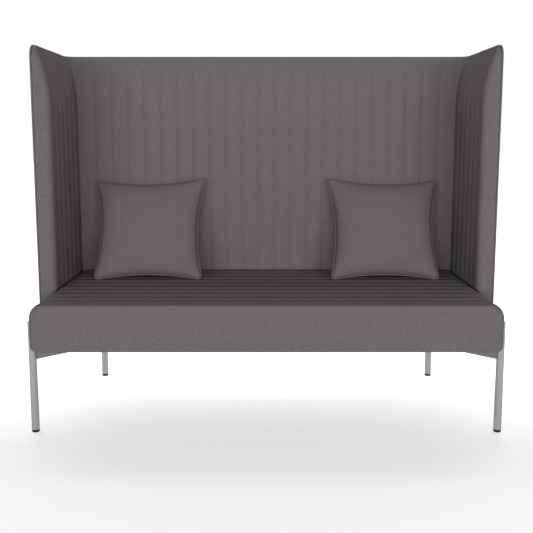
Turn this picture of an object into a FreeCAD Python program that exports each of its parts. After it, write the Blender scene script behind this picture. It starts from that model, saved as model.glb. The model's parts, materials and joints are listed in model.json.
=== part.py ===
import FreeCAD, Part
import math
import os

# High-back sofa with sewn channels on its seat, back and wings, and two loose cushions.
# Millimetres, +Z up. The front faces -Y, and left and right are as seen from the front.
# The origin lies on the floor under the middle of the sofa.

V = FreeCAD.Vector

# Overall sizes
overall_width = 1592.0
overall_depth = 704.0
overall_height = 1288.0
seat_height = 450.0
seat_thickness = 153.0
wing_set_back = 254.0

# Layers of the back and the wings, from the inside out
quilt_thickness = 24.0
board_thickness = 18.0
wadding_thickness = 15.0
cover_thickness = 3.0

# Padded edge of the shell
wing_corner_radius = 40.0
rear_corner_radius = 45.0
edge_padding = 16.0
edge_cap_depth = 26.0
inner_edge_radius = 20.0
piping_diameter = 6.0
piping_clearance = 0.3

# Crest, where the pads thin out towards the top edge
crest_height = 200.0
crest_middle = 130.0
crest_cap = 36.0
crest_lip = 1.5
bevel_start = 80.0
bevel_depth = 14.0

# Sewn channels
back_rib_count = 23
channel_pitch = 64.0
channel_rise = 6.0
channel_fade = 90.0
seat_front_channel = 70.6
seat_front_roll = 24.0
wing_front_channel = 42.0
wing_front_roll = 10.0
least_rib = 20.0
quilt_gap = 0.3
seat_gap = 0.5

# Seat form
seat_top_radius = 50.0
seat_bottom_radius = 13.0
seat_corner_radius = 25.0
seat_front_edge_radius = 8.0
cover_hem = 40.0

# Seat frame
rail_thickness = 30.0
rail_height = 70.0
apron_padding = 20.0
cross_rail_height = 43.0
block_length = 140.0
block_width = 62.0
block_height = 45.0
strap_width = 60.0
strap_thickness = 2.0
strap_pitch = 150.0
strap_count = 9
dust_cover_thickness = 2.0
dust_cover_inset = 6.0
foot_margin = 2.0
foot_clearance = 1.0

# Legs, brackets and glides
tube_diameter = 25.0
tube_wall = 2.0
leg_side_gap = 0.5
front_leg_set_back = 72.0
front_leg_rise = 80.0
rear_leg_inset = 130.0
rear_leg_set_back = 25.0
flange_thickness = 5.0
flange_width = 50.0
bracket_reach = 190.0
front_flange_start = 17.0
rear_flange_start = -16.0
gusset_thickness = 8.0
gusset_depth = 44.0
gusset_tip_depth = 3.0
weld_gap = 0.1
cap_thickness = 2.0
glide_height = 9.0
glide_plug = 20.0
plug_clearance = 0.2

# Fasteners
bolt_diameter = 8.0
bolt_clearance = 0.4
head_across = 13.0
head_height = 5.5
shell_bolt_bite = 12.0
bracket_bolt_bite = 30.0
wing_bolt_margin = 80.0
wing_bolt_count = 2
back_bolt_pitch = 800.0
back_bolt_count = 2
bracket_bolt_reach = (75.0, 155.0)
bracket_bolt_offset = 14.0

# Loose cushions
cushion_side = 418.0
cushion_thickness = 130.0
cushion_draw_in = 13.0
cushion_corner_radius = 20.0
cushion_fullness = 2.4
cushion_levels = (0.0, 0.1, 0.3, 0.55, 0.88)
insert_levels = (0.0, 0.22, 0.88)
cushion_crown_rounding = 0.85
cushion_straightening = 2.6
cushion_cloth = 2.0
cushion_lean_degrees = 25.0
cushion_roll_degrees = 1.0
cushion_wing_gap = 76.0
cushion_gap = 0.3

# Faces of the layers, worked out from the sizes above
half_width = overall_width / 2
board_outer = half_width - cover_thickness - wadding_thickness
board_inner = board_outer - board_thickness
inner_half = board_inner - quilt_thickness
wadding_outer = half_width - cover_thickness
seat_front = -overall_depth / 2
back_face = overall_depth / 2
back_wadding_rear = back_face - cover_thickness
back_board_rear = back_wadding_rear - wadding_thickness
back_board_front = back_board_rear - board_thickness
back_inner = back_board_front - quilt_thickness
wing_front = seat_front + wing_set_back
shell_top = overall_height
seat_underside = seat_height - seat_thickness
frame_bottom = seat_underside + dust_cover_thickness
piping_seat = piping_diameter + piping_clearance
pad_depth = wadding_outer - inner_half
crest_depth = pad_depth - piping_seat - crest_lip
crest_radius = (crest_height ** 2 + crest_depth ** 2) / (2 * crest_depth)
crest_stations = (crest_height, crest_middle, bevel_start, crest_cap)
board_top = shell_top - crest_cap
seat_half = board_inner
rail_bottom = frame_bottom + cover_thickness
rail_top = rail_bottom + rail_height
rail_middle = rail_bottom + rail_height / 2
side_rail_inner = seat_half - cover_thickness - rail_thickness
front_rail_front = seat_front + cover_thickness + apron_padding
front_rail_rear = front_rail_front + rail_thickness
rear_rail_rear = back_board_front - cover_thickness
rear_rail_front = rear_rail_rear - rail_thickness
strap_top = rail_top + strap_thickness
tube_radius = tube_diameter / 2
tube_bore = tube_radius - tube_wall
front_leg_x = seat_half + leg_side_gap + tube_radius
front_leg_y = seat_front + front_leg_set_back
front_leg_top = seat_underside + front_leg_rise
rear_leg_x = half_width - rear_leg_inset
rear_leg_y = back_face - rear_leg_set_back
flange_bottom = seat_underside - flange_thickness
outer_cross_rail = rear_leg_x - bracket_bolt_offset
block_rear = front_rail_rear + block_width
bolt_hole = bolt_diameter + bolt_clearance
far = overall_width + overall_depth + overall_height


# Drawing helpers

def box(x0, x1, y0, y1, z0, z1):
    """Block between two opposite corners."""
    return Part.makeBox(x1 - x0, y1 - y0, z1 - z0, V(x0, y0, z0))


def in_plan(z):
    """Places (x, y) on a level plane."""
    return lambda x, y: V(x, y, z)


def from_side(x):
    """Places (y, z) on a plane across the width."""
    return lambda y, z: V(x, y, z)


def from_front(y):
    """Places (x, z) on a plane across the depth."""
    return lambda x, z: V(x, y, z)


def line(start, end):
    """Straight edge between two points."""
    return Part.LineSegment(start, end).toShape()


def outline(corners, place):
    """Closed wire through corners (u, v, radius), each rounded where its radius is not zero."""
    starts = []
    arcs = []
    ends = []
    for index, (u, v, radius) in enumerate(corners):
        here = V(u, v, 0)
        back = (V(*corners[index - 1][:2], 0) - here).normalize()
        ahead = (V(*corners[(index + 1) % len(corners)][:2], 0) - here).normalize()
        half_turn = back.getAngle(ahead) / 2
        middle = (back + ahead).normalize()
        start = here + back * (radius / math.tan(half_turn))
        end = here + ahead * (radius / math.tan(half_turn))
        crest = here + middle * (radius / math.sin(half_turn) - radius)
        starts.append(place(start.x, start.y))
        ends.append(place(end.x, end.y))
        arcs.append(place(crest.x, crest.y) if radius else None)
    edges = []
    for index, crest in enumerate(arcs):
        edges.append(line(ends[index - 1], starts[index]))
        if crest:
            edges.append(Part.Arc(starts[index], crest, ends[index]).toShape())
    return Part.Wire(edges)


def prism(corners, place, sweep):
    """Solid swept straight from a rounded outline."""
    return Part.Face(outline(corners, place)).extrude(sweep)


def hexagon(radius):
    """Corners of a regular hexagon."""
    turns = [math.radians(60 * index) for index in range(6)]
    return [(radius * math.cos(turn), radius * math.sin(turn)) for turn in turns]


def mirrored(shape):
    """The same piece on the other side of the sofa."""
    return shape.mirror(V(0, 0, 0), V(1, 0, 0))


def joined(shapes):
    """One solid from pieces that meet face to face."""
    return shapes[0].multiFuse(shapes[1:]).removeSplitter()


def pointed(shape, spot, direction):
    """A fastener drawn along +Z, turned along a direction and set on its spot."""
    turned = shape.copy()
    turned.Placement = FreeCAD.Placement(spot, FreeCAD.Rotation(V(0, 0, 1), direction))
    return turned


def rod(radius, length, spot, direction):
    """Round bar from a spot along a direction."""
    return Part.makeCylinder(radius, length, spot, direction)


# Sewn channels

def seam_lines(first, stop):
    """Seams one pitch apart, from the first to the last that leaves a rib before the stop."""
    count = int((stop - least_rib - first) / channel_pitch) + 1
    return [first + channel_pitch * index for index in range(count)]


def rib(start, end, rise, place):
    """One rib, an arc from seam to seam. place(along, height) counts height from the seam."""
    if rise == 0:
        return line(place(start, 0), place(end, 0))
    return Part.Arc(place(start, 0), place((start + end) / 2, rise), place(end, 0)).toShape()


def half_rib(seam, crest, rise, place):
    """Half a rib that rises from its seam and runs out level at its crest."""
    if rise == 0:
        return line(place(seam, 0), place(crest, 0))
    width = abs(crest - seam)
    radius = (width ** 2 + rise ** 2) / (2 * rise)
    turn = math.asin(width / radius) / 2
    towards_seam = math.copysign(radius * math.sin(turn), seam - crest)
    middle = place(crest + towards_seam, rise - radius * (1 - math.cos(turn)))
    return Part.Arc(place(seam, 0), middle, place(crest, rise)).toShape()


# Seat

def seat_ends(inset, bottom, top):
    """Front view of the seat: large rounded top corners, small bottom ones."""
    half = seat_half - inset
    low = seat_bottom_radius - inset
    high = seat_top_radius - inset
    return [(-half, bottom, low), (-half, top, high), (half, top, high), (half, bottom, low)]


def plain_seat(inset, top):
    """Seat block with all its edges eased, drawn in from the outside, up to a level top."""
    half = seat_half - inset
    front = seat_front + inset
    rear = back_board_front - inset
    bottom = frame_bottom + inset
    corner = seat_corner_radius - inset
    ease = seat_front_edge_radius - inset
    ends = prism(seat_ends(inset, bottom, top), from_front(front), V(0, rear - front, 0))
    plan = prism([(-half, front, corner), (half, front, corner), (half, rear, 0), (-half, rear, 0)],
                 in_plan(bottom), V(0, 0, top - bottom))
    side = prism([(front, bottom, ease), (front, top, ease), (rear, top, 0), (rear, bottom, 0)],
                 from_side(-half), V(2 * half, 0, 0))
    return ends.common(plan).common(side)


def seat_channels():
    """Everything under the sewn top of the seat: ribs across its width and a level front strip."""
    valley = seat_height - channel_rise
    side = from_side(-seat_half)
    seams = seam_lines(seat_front + seat_front_channel, back_inner)
    last_rise = channel_rise * min(1.0, (back_inner - seams[-1]) / channel_pitch)
    crest = seams[0] - seat_front_roll

    def place(y, height):
        return side(y, valley + height)

    edges = [line(side(back_board_front, frame_bottom), side(back_board_front, valley))]
    edges.append(line(side(back_board_front, valley), side(back_inner, valley)))
    edges.append(rib(back_inner, seams[-1], last_rise, place))
    for behind, ahead in zip(seams[:0:-1], seams[-2::-1]):
        edges.append(rib(behind, ahead, channel_rise, place))
    edges.append(half_rib(seams[0], crest, channel_rise, place))
    edges.append(line(side(crest, seat_height), side(seat_front, seat_height)))
    edges.append(line(side(seat_front, seat_height), side(seat_front, frame_bottom)))
    edges.append(line(side(seat_front, frame_bottom), side(back_board_front, frame_bottom)))
    return Part.Face(Part.Wire(edges)).extrude(V(2 * seat_half, 0, 0))


def seat_inside():
    """Room inside the seat's cover. The cover is cut away where the boards bear on the rails."""
    room = plain_seat(cover_thickness, seat_height - channel_rise - cover_thickness)
    bearing = box(-seat_half, seat_half, wing_front + edge_padding, back_board_front, rail_bottom, rail_top)
    return joined([room, bearing])


def seat_envelope():
    """Room that the back and the wings leave for the seat."""
    corners = seat_ends(-seat_gap, frame_bottom - seat_thickness, seat_height + seat_gap)
    return prism(corners, from_front(seat_front - overall_depth), V(0, 2 * overall_depth, 0))


def seat_cover(inside):
    """Quilted cover over the whole seat, flat behind, with a hem turned under the rails."""
    skin = plain_seat(0, seat_height).common(seat_channels()).cut(inside)
    inner = seat_half - cover_hem
    opening = box(-inner, inner, seat_front + cover_hem, back_board_front - cover_hem,
                  frame_bottom - cover_thickness, rail_bottom)
    return skin.cut(opening)


def seat_foam(inside):
    """Foam over the straps and down the front of the frame."""
    frame = box(-seat_half, seat_half, front_rail_front, back_board_front,
                frame_bottom, strap_top)
    return inside.cut(frame)


def seat_rails(inside):
    """Front, rear and side rails, shaped to the inside of the cover."""
    side = box(side_rail_inner, seat_half, front_rail_rear, rear_rail_front, rail_bottom, rail_top)
    rails = {
        "seat_front_rail": box(-seat_half, seat_half, front_rail_front, front_rail_rear,
                               rail_bottom, rail_top),
        "seat_rear_rail": box(-seat_half, seat_half, rear_rail_front, back_board_front,
                              rail_bottom, rail_top),
        "seat_left_rail": mirrored(side),
        "seat_right_rail": side,
    }
    return {name: rail.common(inside) for name, rail in rails.items()}


def bracket_feet(clearance):
    """Feet of the seat frame that come down through the dust cover to the brackets."""
    hem_side = seat_half - cover_hem - foot_margin
    hem_rear = back_board_front - cover_hem - foot_margin
    half = flange_width / 2
    front = box(front_leg_x - bracket_reach, hem_side, front_rail_rear, front_leg_y + half,
                seat_underside, rail_bottom)
    rear = box(outer_cross_rail - rail_thickness / 2, outer_cross_rail + rail_thickness / 2,
               rear_leg_y - bracket_reach, hem_rear, seat_underside, rail_bottom)
    feet = []
    for foot in (front, rear):
        room = foot.BoundBox
        room.enlarge(clearance)
        feet.append(box(room.XMin, room.XMax, room.YMin, room.YMax, room.ZMin, room.ZMax))
    return feet


def cross_rails():
    """Three rails from front to rear. The outer two stand on the rear brackets."""
    half = rail_thickness / 2
    top = rail_bottom + cross_rail_height
    middle = box(-half, half, front_rail_rear, rear_rail_front, rail_bottom, top)
    outer = joined([box(outer_cross_rail - half, outer_cross_rail + half, block_rear, rear_rail_front,
                        rail_bottom, top), bracket_feet(0)[1]])
    return [mirrored(outer), middle, outer]


def corner_blocks():
    """Blocks glued into the front corners, which stand on the front brackets."""
    block = joined([box(side_rail_inner - block_length, side_rail_inner, front_rail_rear, block_rear,
                        rail_bottom, rail_bottom + block_height), bracket_feet(0)[0]])
    return [mirrored(block), block]


def webbing():
    """Elastic straps stretched over the front and rear rails."""
    first = -strap_pitch * (strap_count - 1) / 2
    straps = []
    for index in range(strap_count):
        x = first + strap_pitch * index
        straps.append(box(x - strap_width / 2, x + strap_width / 2, front_rail_front,
                          rear_rail_rear, rail_top, strap_top))
    return straps


def dust_cover():
    """Thin cloth that closes the underside of the seat and the shell."""
    seat = seat_half - dust_cover_inset
    shell = half_width - dust_cover_inset
    front = seat_front + dust_cover_inset
    step = wing_front + dust_cover_inset
    rear = back_face - dust_cover_inset
    rear_radius = rear_corner_radius - dust_cover_inset
    front_radius = seat_corner_radius - dust_cover_inset
    corners = [(-seat, front, front_radius), (seat, front, front_radius), (seat, step, 0),
               (shell, step, 0), (shell, rear, rear_radius), (-shell, rear, rear_radius),
               (-shell, step, 0), (-seat, step, 0)]
    sheet = prism(corners, in_plan(seat_underside), V(0, 0, dust_cover_thickness))
    windows = bracket_feet(foot_clearance)
    return sheet.cut(Part.makeCompound(windows + [mirrored(window) for window in windows]))


# Shell of the back and the wings

def crest(below):
    """How far the face of a pad has drawn back, at a distance below the top edge."""
    rest = max(0.0, crest_height - below)
    return crest_radius - math.sqrt(crest_radius ** 2 - rest ** 2)


def bevel(below):
    """How much the bevel has taken off the inside of a board, at a distance below the top edge."""
    return bevel_depth * max(0.0, (bevel_start - below) / (bevel_start - crest_cap))


def wing_side(inset, drop, x, width):
    """Side view of the shell drawn in from its front and its top, swept across the width."""
    front = wing_front + inset
    top = shell_top - drop
    corners = [(front, frame_bottom, 0), (front, top, wing_corner_radius - inset),
               (back_face, top, 0), (back_face, frame_bottom, 0)]
    return prism(corners, from_side(x), V(width, 0, 0))


def shell_plan(inset):
    """Plan of the shell with its rounded rear corners, drawn in from the outside."""
    half = half_width - inset
    rear = back_face - inset
    radius = rear_corner_radius - inset
    corners = [(-half, wing_front, 0), (half, wing_front, 0), (half, rear, radius),
               (-half, rear, radius)]
    return prism(corners, in_plan(frame_bottom), V(0, 0, shell_top - frame_bottom))


def back_sector():
    """Everything behind the mitres at the two rear corners."""
    apex = back_board_rear - board_outer
    corners = [(0, apex, 0), (far, apex + far, 0), (-far, apex + far, 0)]
    return prism(corners, in_plan(0), V(0, 0, far))


def split_at_corners(shell, sector):
    """The back, left and right panels of a layer that goes round the shell."""
    sides = shell.cut(sector)
    right = sides.common(box(0, far, -far, far, 0, far))
    return shell.common(sector), mirrored(right), right


def wing_board():
    """Plywood side of the shell, with a rounded top front corner and a bevel inside its top."""
    board = wing_side(edge_padding, crest_cap, board_inner, board_thickness)
    corners = [(board_inner, shell_top - bevel_start, 0), (board_inner + bevel_depth, board_top, 0),
               (board_inner, board_top, 0)]
    wedge = prism(corners, from_front(wing_front), V(0, back_board_rear - wing_front, 0))
    return board.common(box(0, far, -far, back_board_rear, 0, far)).cut(wedge)


def back_board():
    """Plywood back between the two sides, bevelled inside its top."""
    corners = [(back_board_front, frame_bottom, 0), (back_board_rear, frame_bottom, 0),
               (back_board_rear, board_top, 0), (back_board_front + bevel_depth, board_top, 0),
               (back_board_front, shell_top - bevel_start, 0)]
    return prism(corners, from_side(-board_inner), V(2 * board_inner, 0, 0))


def outer_wadding():
    """Padding on the outside of the boards, below the padded edge."""
    boards = box(-board_outer, board_outer, -far, back_board_rear, 0, far)
    below = wing_side(edge_cap_depth, crest_cap, -far, 2 * far)
    return shell_plan(cover_thickness).common(below).cut(boards)


def outer_cover():
    """Cloth on the outside of the shell, up to the piping."""
    skin = shell_plan(0).cut(shell_plan(cover_thickness))
    return skin.common(wing_side(piping_seat, piping_seat, -far, 2 * far))


def wing_face():
    """Space inside the face of the right wing, which rounds into its front and draws back at its top."""
    margin = inner_edge_radius
    outer = half_width + margin
    rear = back_face + margin

    def section(z, below):
        face = inner_half + crest(below)
        corners = [(0, wing_front - margin, 0), (outer, wing_front - margin, 0), (outer, wing_front, 0),
                   (face, wing_front, inner_edge_radius), (face, rear, 0), (0, rear, 0)]
        return outline(corners, in_plan(z))

    sections = [section(seat_underside, crest_height)]
    sections += [section(shell_top - below, below) for below in crest_stations + (0.0,)]
    return Part.makeLoft(sections, True, True)


def wing_edge():
    """Padded edge up the front of the right wing, round its corner and back along its top."""
    edge = wing_side(0, 0, inner_half, pad_depth)
    board = wing_side(edge_padding, crest_cap, board_inner, board_thickness)
    layers = wing_side(edge_cap_depth, crest_cap, inner_half, pad_depth)
    return edge.cut(layers).cut(board).cut(wing_face())


def back_edge():
    """Padded edge along the top of the back, a wedge that is highest behind."""
    points = [(back_wadding_rear, board_top), (back_wadding_rear, shell_top)]
    points += [(back_inner + crest(below), shell_top - below) for below in (0.0, crest_cap)]
    corners = [(y, z, 0) for y, z in points]
    return prism(corners, from_side(-half_width), V(overall_width, 0, 0))


def along_shell_edge(section):
    """Sweeps a section, drawn at the foot of the left wing, round the outer edge of the shell."""
    upright = V(0, 0, shell_top - wing_corner_radius - frame_bottom)
    level = V(0, back_face - rear_corner_radius - wing_front - wing_corner_radius, 0)
    across = V(overall_width - 2 * rear_corner_radius, 0, 0)
    front_turn = V(0, wing_front + wing_corner_radius, shell_top - wing_corner_radius)
    right_turn = V(half_width - rear_corner_radius, back_face - rear_corner_radius, 0)
    left_turn = V(-right_turn.x, right_turn.y, 0)
    x_axis = V(1, 0, 0)
    z_axis = V(0, 0, 1)
    runs = [(upright, None), (front_turn, (x_axis, -90)), (level, None), (left_turn, (z_axis, -90)),
            (across, None), (right_turn, (z_axis, -90)), (-level, None), (front_turn, (x_axis, 90)),
            (-upright, None)]
    pieces = []
    face = section.copy()
    for vector, turn in runs:
        if turn:
            pieces.append(face.revolve(vector, *turn))
            face.rotate(vector, *turn)
        else:
            pieces.append(face.extrude(vector))
            face.translate(vector)
    return joined(pieces)


def edge_piping():
    """Six-sided piping in the seam between the padded edge and the outer cover."""
    x = -wadding_outer + piping_seat / 2
    y = wing_front + piping_seat / 2
    corners = [(x + u, y + v, 0) for u, v in hexagon(piping_diameter / 2)]
    return along_shell_edge(Part.Face(outline(corners, in_plan(frame_bottom))))


def piping_rebate():
    """Room for the piping along the outer edge."""
    inner = -wadding_outer + piping_seat
    rear = wing_front + piping_seat
    corners = [(-half_width, wing_front - cover_thickness, 0), (inner, wing_front - cover_thickness, 0),
               (inner, rear, 0), (-half_width, rear, 0)]
    return along_shell_edge(Part.Face(outline(corners, in_plan(frame_bottom))))


def padded_edges(sector, envelope):
    """The padded edges of the back and of the two wings, mitred at the rear corners."""
    plan = shell_plan(cover_thickness)
    rebate = piping_rebate()
    back = back_edge().common(sector).common(plan).cut(rebate)
    wing = wing_edge().cut(sector).common(plan).cut(rebate).cut(envelope)
    return {"back_top_border": back, "left_wing_border": mirrored(wing), "right_wing_border": wing}


def quilt_sections(section):
    """Sections of a quilted pad up to its crest, where its ribs run out. section(z, below, rise)."""
    sections = [section(frame_bottom, crest_height, channel_rise)]
    for below in crest_stations:
        rise = channel_rise * min(1.0, (below - crest_cap) / channel_fade)
        sections.append(section(shell_top - below, below, rise))
    return Part.makeLoft(sections, True, True)


def back_quilt(envelope):
    """Quilted pad of the back. It spreads to the sides where the wings draw back."""

    def section(z, below, rise):
        half = inner_half + crest(below) - quilt_gap
        pitch = 2 * half / back_rib_count
        behind = back_board_front + bevel(below)

        def place(x, height):
            return V(x, back_inner + crest(below) + rise - height, z)
        edges = [rib(-half + pitch * index, -half + pitch * (index + 1), rise, place)
                 for index in range(back_rib_count)]
        edges.append(line(place(half, 0), V(half, behind, z)))
        edges.append(line(V(half, behind, z), V(-half, behind, z)))
        edges.append(line(V(-half, behind, z), place(-half, 0)))
        return Part.Wire(edges)

    return quilt_sections(section).cut(envelope)


def wing_quilt(envelope):
    """Quilted pad of the right wing, smooth along its front edge."""
    front = wing_front + edge_cap_depth
    seams = seam_lines(wing_front + wing_front_channel, back_inner)
    crown = seams[0] - wing_front_roll

    def section(z, below, rise):
        behind = board_inner + bevel(below)
        rear = back_board_front + bevel(below)

        def place(y, height):
            return V(inner_half + crest(below) + rise - height, y, z)
        edges = [line(V(behind, front, z), place(front, rise))]
        edges.append(line(place(front, rise), place(crown, rise)))
        edges.append(half_rib(seams[0], crown, rise, place))
        for ahead, after in zip(seams, seams[1:]):
            edges.append(rib(ahead, after, rise, place))
        edges.append(half_rib(seams[-1], back_inner, rise, place))
        edges.append(line(place(back_inner, rise), place(rear, rise)))
        edges.append(line(place(rear, rise), V(behind, rear, z)))
        edges.append(line(V(behind, rear, z), V(behind, front, z)))
        return Part.Wire(edges)

    return quilt_sections(section).common(wing_side(edge_cap_depth, crest_cap, 0, far)).cut(envelope)


# Fasteners

def bolt(grip):
    """Hexagon bolt along +Z with the underside of its head at the origin."""
    corners = [(u, v, 0) for u, v in hexagon(head_across / math.sqrt(3))]
    head = prism(corners, in_plan(-head_height), V(0, 0, head_height))
    return joined([head, rod(bolt_diameter / 2, grip, V(0, 0, 0), V(0, 0, 1))])


def evenly(first, last, count):
    """Evenly spaced values from the first to the last."""
    return [first + (last - first) * index / (count - 1) for index in range(count)]


def shell_bolts():
    """Head seat, direction and grip of each bolt from the seat rails into the shell."""
    grip = rail_thickness + cover_thickness + shell_bolt_bite
    spots = []
    for y in evenly(wing_front + wing_bolt_margin, rear_rail_front - wing_bolt_margin, wing_bolt_count):
        spots.append((V(side_rail_inner, y, rail_middle), V(1, 0, 0), grip))
        spots.append((V(-side_rail_inner, y, rail_middle), V(-1, 0, 0), grip))
    reach = back_bolt_pitch * (back_bolt_count - 1) / 2
    for x in evenly(-reach, reach, back_bolt_count):
        spots.append((V(x, rear_rail_front, rail_middle), V(0, 1, 0), grip))
    return spots


def bracket_bolts():
    """Head seat, direction and grip of each bolt from a bracket up into the seat frame."""
    grip = rail_bottom - flange_bottom + bracket_bolt_bite
    spots = []
    for reach in bracket_bolt_reach:
        for side in (-1, 1):
            front = V(side * (front_leg_x - reach), front_leg_y + bracket_bolt_offset, flange_bottom)
            rear = V(side * outer_cross_rail, rear_leg_y - reach, flange_bottom)
            spots.append((front, V(0, 0, 1), grip))
            spots.append((rear, V(0, 0, 1), grip))
    return spots


def bolt_together(parts, name, spots, pierced):
    """Adds a set of bolts as one node and drills the pieces that they pass through."""
    parts[name] = Part.makeCompound([pointed(bolt(grip), spot, way) for spot, way, grip in spots])
    holes = Part.makeCompound([rod(bolt_hole / 2, grip + bolt_clearance, spot, way)
                               for spot, way, grip in spots])
    for piece in pierced:
        parts[piece] = parts[piece].cut(holes)


# Legs

def leg(x, y, top):
    """Round tube on its glide."""
    height = top - glide_height
    tube = rod(tube_radius, height, V(x, y, glide_height), V(0, 0, 1))
    return tube.cut(rod(tube_bore, height, V(x, y, glide_height), V(0, 0, 1)))


def glide(x, y):
    """Foot of hard plastic with a plug that sits in the tube."""
    plug = tube_bore - plug_clearance
    top = glide_height + glide_plug
    side = from_side(0)
    points = [(0, 0), (tube_radius, 0), (tube_radius, glide_height), (plug, glide_height),
              (plug, top), (0, top)]
    face = Part.Face(Part.makePolygon([side(*point) for point in points + points[:1]]))
    turned = face.revolve(V(0, 0, 0), V(0, 0, 1), 360)
    turned.translate(V(x, y, 0))
    return turned


def leg_cap(x, y, top):
    """Flat disc welded over the open top of a front leg."""
    return rod(tube_radius, cap_thickness, V(x, y, top - cap_thickness), V(0, 0, 1))


def bracket(flange_start):
    """Flange and tapered gusset that reach along +X from a leg standing at the origin."""
    half = flange_width / 2
    flange = box(flange_start, bracket_reach, -half, half, flange_bottom, seat_underside)
    corners = [(0, flange_bottom, 0), (0, flange_bottom - gusset_depth, 0),
               (bracket_reach, flange_bottom - gusset_tip_depth, 0), (bracket_reach, flange_bottom, 0)]
    gusset = prism(corners, from_front(-gusset_thickness / 2), V(0, gusset_thickness, 0))
    weld = rod(tube_radius + weld_gap, far, V(0, 0, flange_bottom - far), V(0, 0, 1))
    return joined([flange, gusset.cut(weld)])


def standing(shape, x, y, turn):
    """A bracket turned about its leg and set on its place."""
    moved = shape.copy()
    moved.Placement = FreeCAD.Placement(V(x, y, 0), FreeCAD.Rotation(V(0, 0, 1), turn))
    return moved


# Loose cushions

def cushion_outline(share, inset):
    """Outline of a cushion at a share of the way in from its seam: four arcs and rounded corners."""
    half = (cushion_side / 2 - inset) * (1 - share)
    start = cushion_corner_radius / (cushion_side / 2)
    corner = half * (start + (cushion_crown_rounding - start) * share)
    draw_in = cushion_draw_in * (1 - share) * (1 - cushion_straightening * share)
    height = (cushion_thickness / 2 - inset) * (1 - (1 - share) ** cushion_fullness)
    middle = half - draw_in
    reach = half - corner
    radius = (reach ** 2 + (middle - reach) ** 2 - corner ** 2) / (2 * draw_in)
    centre = V(middle + radius, 0, 0)
    towards = (V(reach, reach, 0) - centre).normalize()
    touch = centre + towards * abs(radius)
    tip = reach + corner * math.sqrt(0.5)
    edges = []
    for quarter in range(4):
        turn = FreeCAD.Rotation(V(0, 0, 1), 90 * quarter)
        points = [turn.multVec(V(x, y, height)) for x, y in (
            (touch.x, -touch.y), (middle, 0), (touch.x, touch.y), (tip, tip), (touch.y, touch.x))]
        edges.append(Part.Arc(points[0], points[1], points[2]).toShape())
        edges.append(Part.Arc(points[2], points[3], points[4]).toShape())
    return Part.Wire(edges)


def cushion_body(levels, inset, faceted):
    """Crowned cushion with drawn-in sides, lying flat about the origin."""
    half = Part.makeLoft([cushion_outline(share, inset) for share in levels], True, faceted)
    return joined([half, half.mirror(V(0, 0, 0), V(0, 0, 1))])


def cushion():
    """Cover and filling of the right cushion, leaning on the back and set on the seat."""
    insert = cushion_body(insert_levels, cushion_cloth, True)
    cover = cushion_body(cushion_levels, 0, False).cut(insert)
    pieces = {"cushion_cover": cover, "cushion_insert": insert}
    for shape in pieces.values():
        shape.rotate(V(0, 0, 0), V(0, 0, 1), -cushion_roll_degrees)
        shape.rotate(V(0, 0, 0), V(1, 0, 0), 90 - cushion_lean_degrees)
    room = cover.optimalBoundingBox(False, False)
    place = inner_half - cushion_wing_gap - cushion_side / 2
    shift = V(place, back_inner - cushion_gap - room.YMax, seat_height + cushion_gap - room.ZMin)
    for shape in pieces.values():
        shape.translate(shift)
    return pieces


def build():
    """Every node of the sofa by name."""
    envelope = seat_envelope()
    sector = back_sector()
    inside = seat_inside()
    parts = {}

    # Seat
    parts.update(seat_rails(inside))
    parts["seat_foam"] = seat_foam(inside)
    parts["seat_cover"] = seat_cover(inside)
    parts["seat_dust_cover"] = dust_cover()
    parts["seat_cross_rails"] = Part.makeCompound(cross_rails())
    parts["seat_corner_blocks"] = Part.makeCompound(corner_blocks())
    parts["seat_webbing"] = Part.makeCompound(webbing())

    # Shell
    parts["back_board"] = back_board()
    parts["right_wing_board"] = wing_board()
    parts["left_wing_board"] = mirrored(parts["right_wing_board"])
    names = ("back", "left_wing", "right_wing")
    for name, panel in zip(names, split_at_corners(outer_wadding(), sector)):
        parts[name + "_outer_padding"] = panel
    for name, panel in zip(names, split_at_corners(outer_cover(), sector)):
        parts[name + "_outer_cover"] = panel
    parts["back_quilt"] = back_quilt(envelope)
    parts["right_wing_quilt"] = wing_quilt(envelope)
    parts["left_wing_quilt"] = mirrored(parts["right_wing_quilt"])
    parts.update(padded_edges(sector, envelope))
    parts["edge_piping"] = edge_piping()

    # Legs
    inward = bracket(front_flange_start)
    forward = bracket(rear_flange_start)
    for side, name in ((-1, "left"), (1, "right")):
        front = side * front_leg_x
        rear = side * rear_leg_x
        parts["front_" + name + "_leg"] = leg(front, front_leg_y, front_leg_top - cap_thickness)
        parts["rear_" + name + "_leg"] = leg(rear, rear_leg_y, flange_bottom)
        parts["front_" + name + "_glide"] = glide(front, front_leg_y)
        parts["rear_" + name + "_glide"] = glide(rear, rear_leg_y)
        parts["front_" + name + "_leg_cap"] = leg_cap(front, front_leg_y, front_leg_top)
        parts["front_" + name + "_bracket"] = standing(inward, front, front_leg_y, 90 + 90 * side)
        parts["rear_" + name + "_bracket"] = standing(forward, rear, rear_leg_y, -90)

    # Cushions
    for name, shape in cushion().items():
        parts["right_" + name] = shape
        parts["left_" + name] = mirrored(shape)

    fasten(parts)
    return parts


def fasten(parts):
    """Bolts the shell to the seat rails and the brackets to the seat frame."""
    bolt_together(parts, "shell_bolts", shell_bolts(),
                  ("seat_left_rail", "seat_right_rail", "seat_rear_rail", "left_wing_board",
                   "right_wing_board", "back_board"))
    bolt_together(parts, "bracket_bolts", bracket_bolts(),
                  ("seat_corner_blocks", "seat_cross_rails", "front_left_bracket",
                   "front_right_bracket", "rear_left_bracket", "rear_right_bracket"))


def main():
    """Writes one file for each node."""
    os.makedirs("parts", exist_ok=True)
    for name, shape in build().items():
        shape.exportStep(f"parts/{name}.step")


main()
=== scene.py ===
import json
import math

import bmesh
import bpy
import numpy as np
from bpy.props import FloatProperty, FloatVectorProperty, PointerProperty
from mathutils import Matrix, Vector, noise


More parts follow.
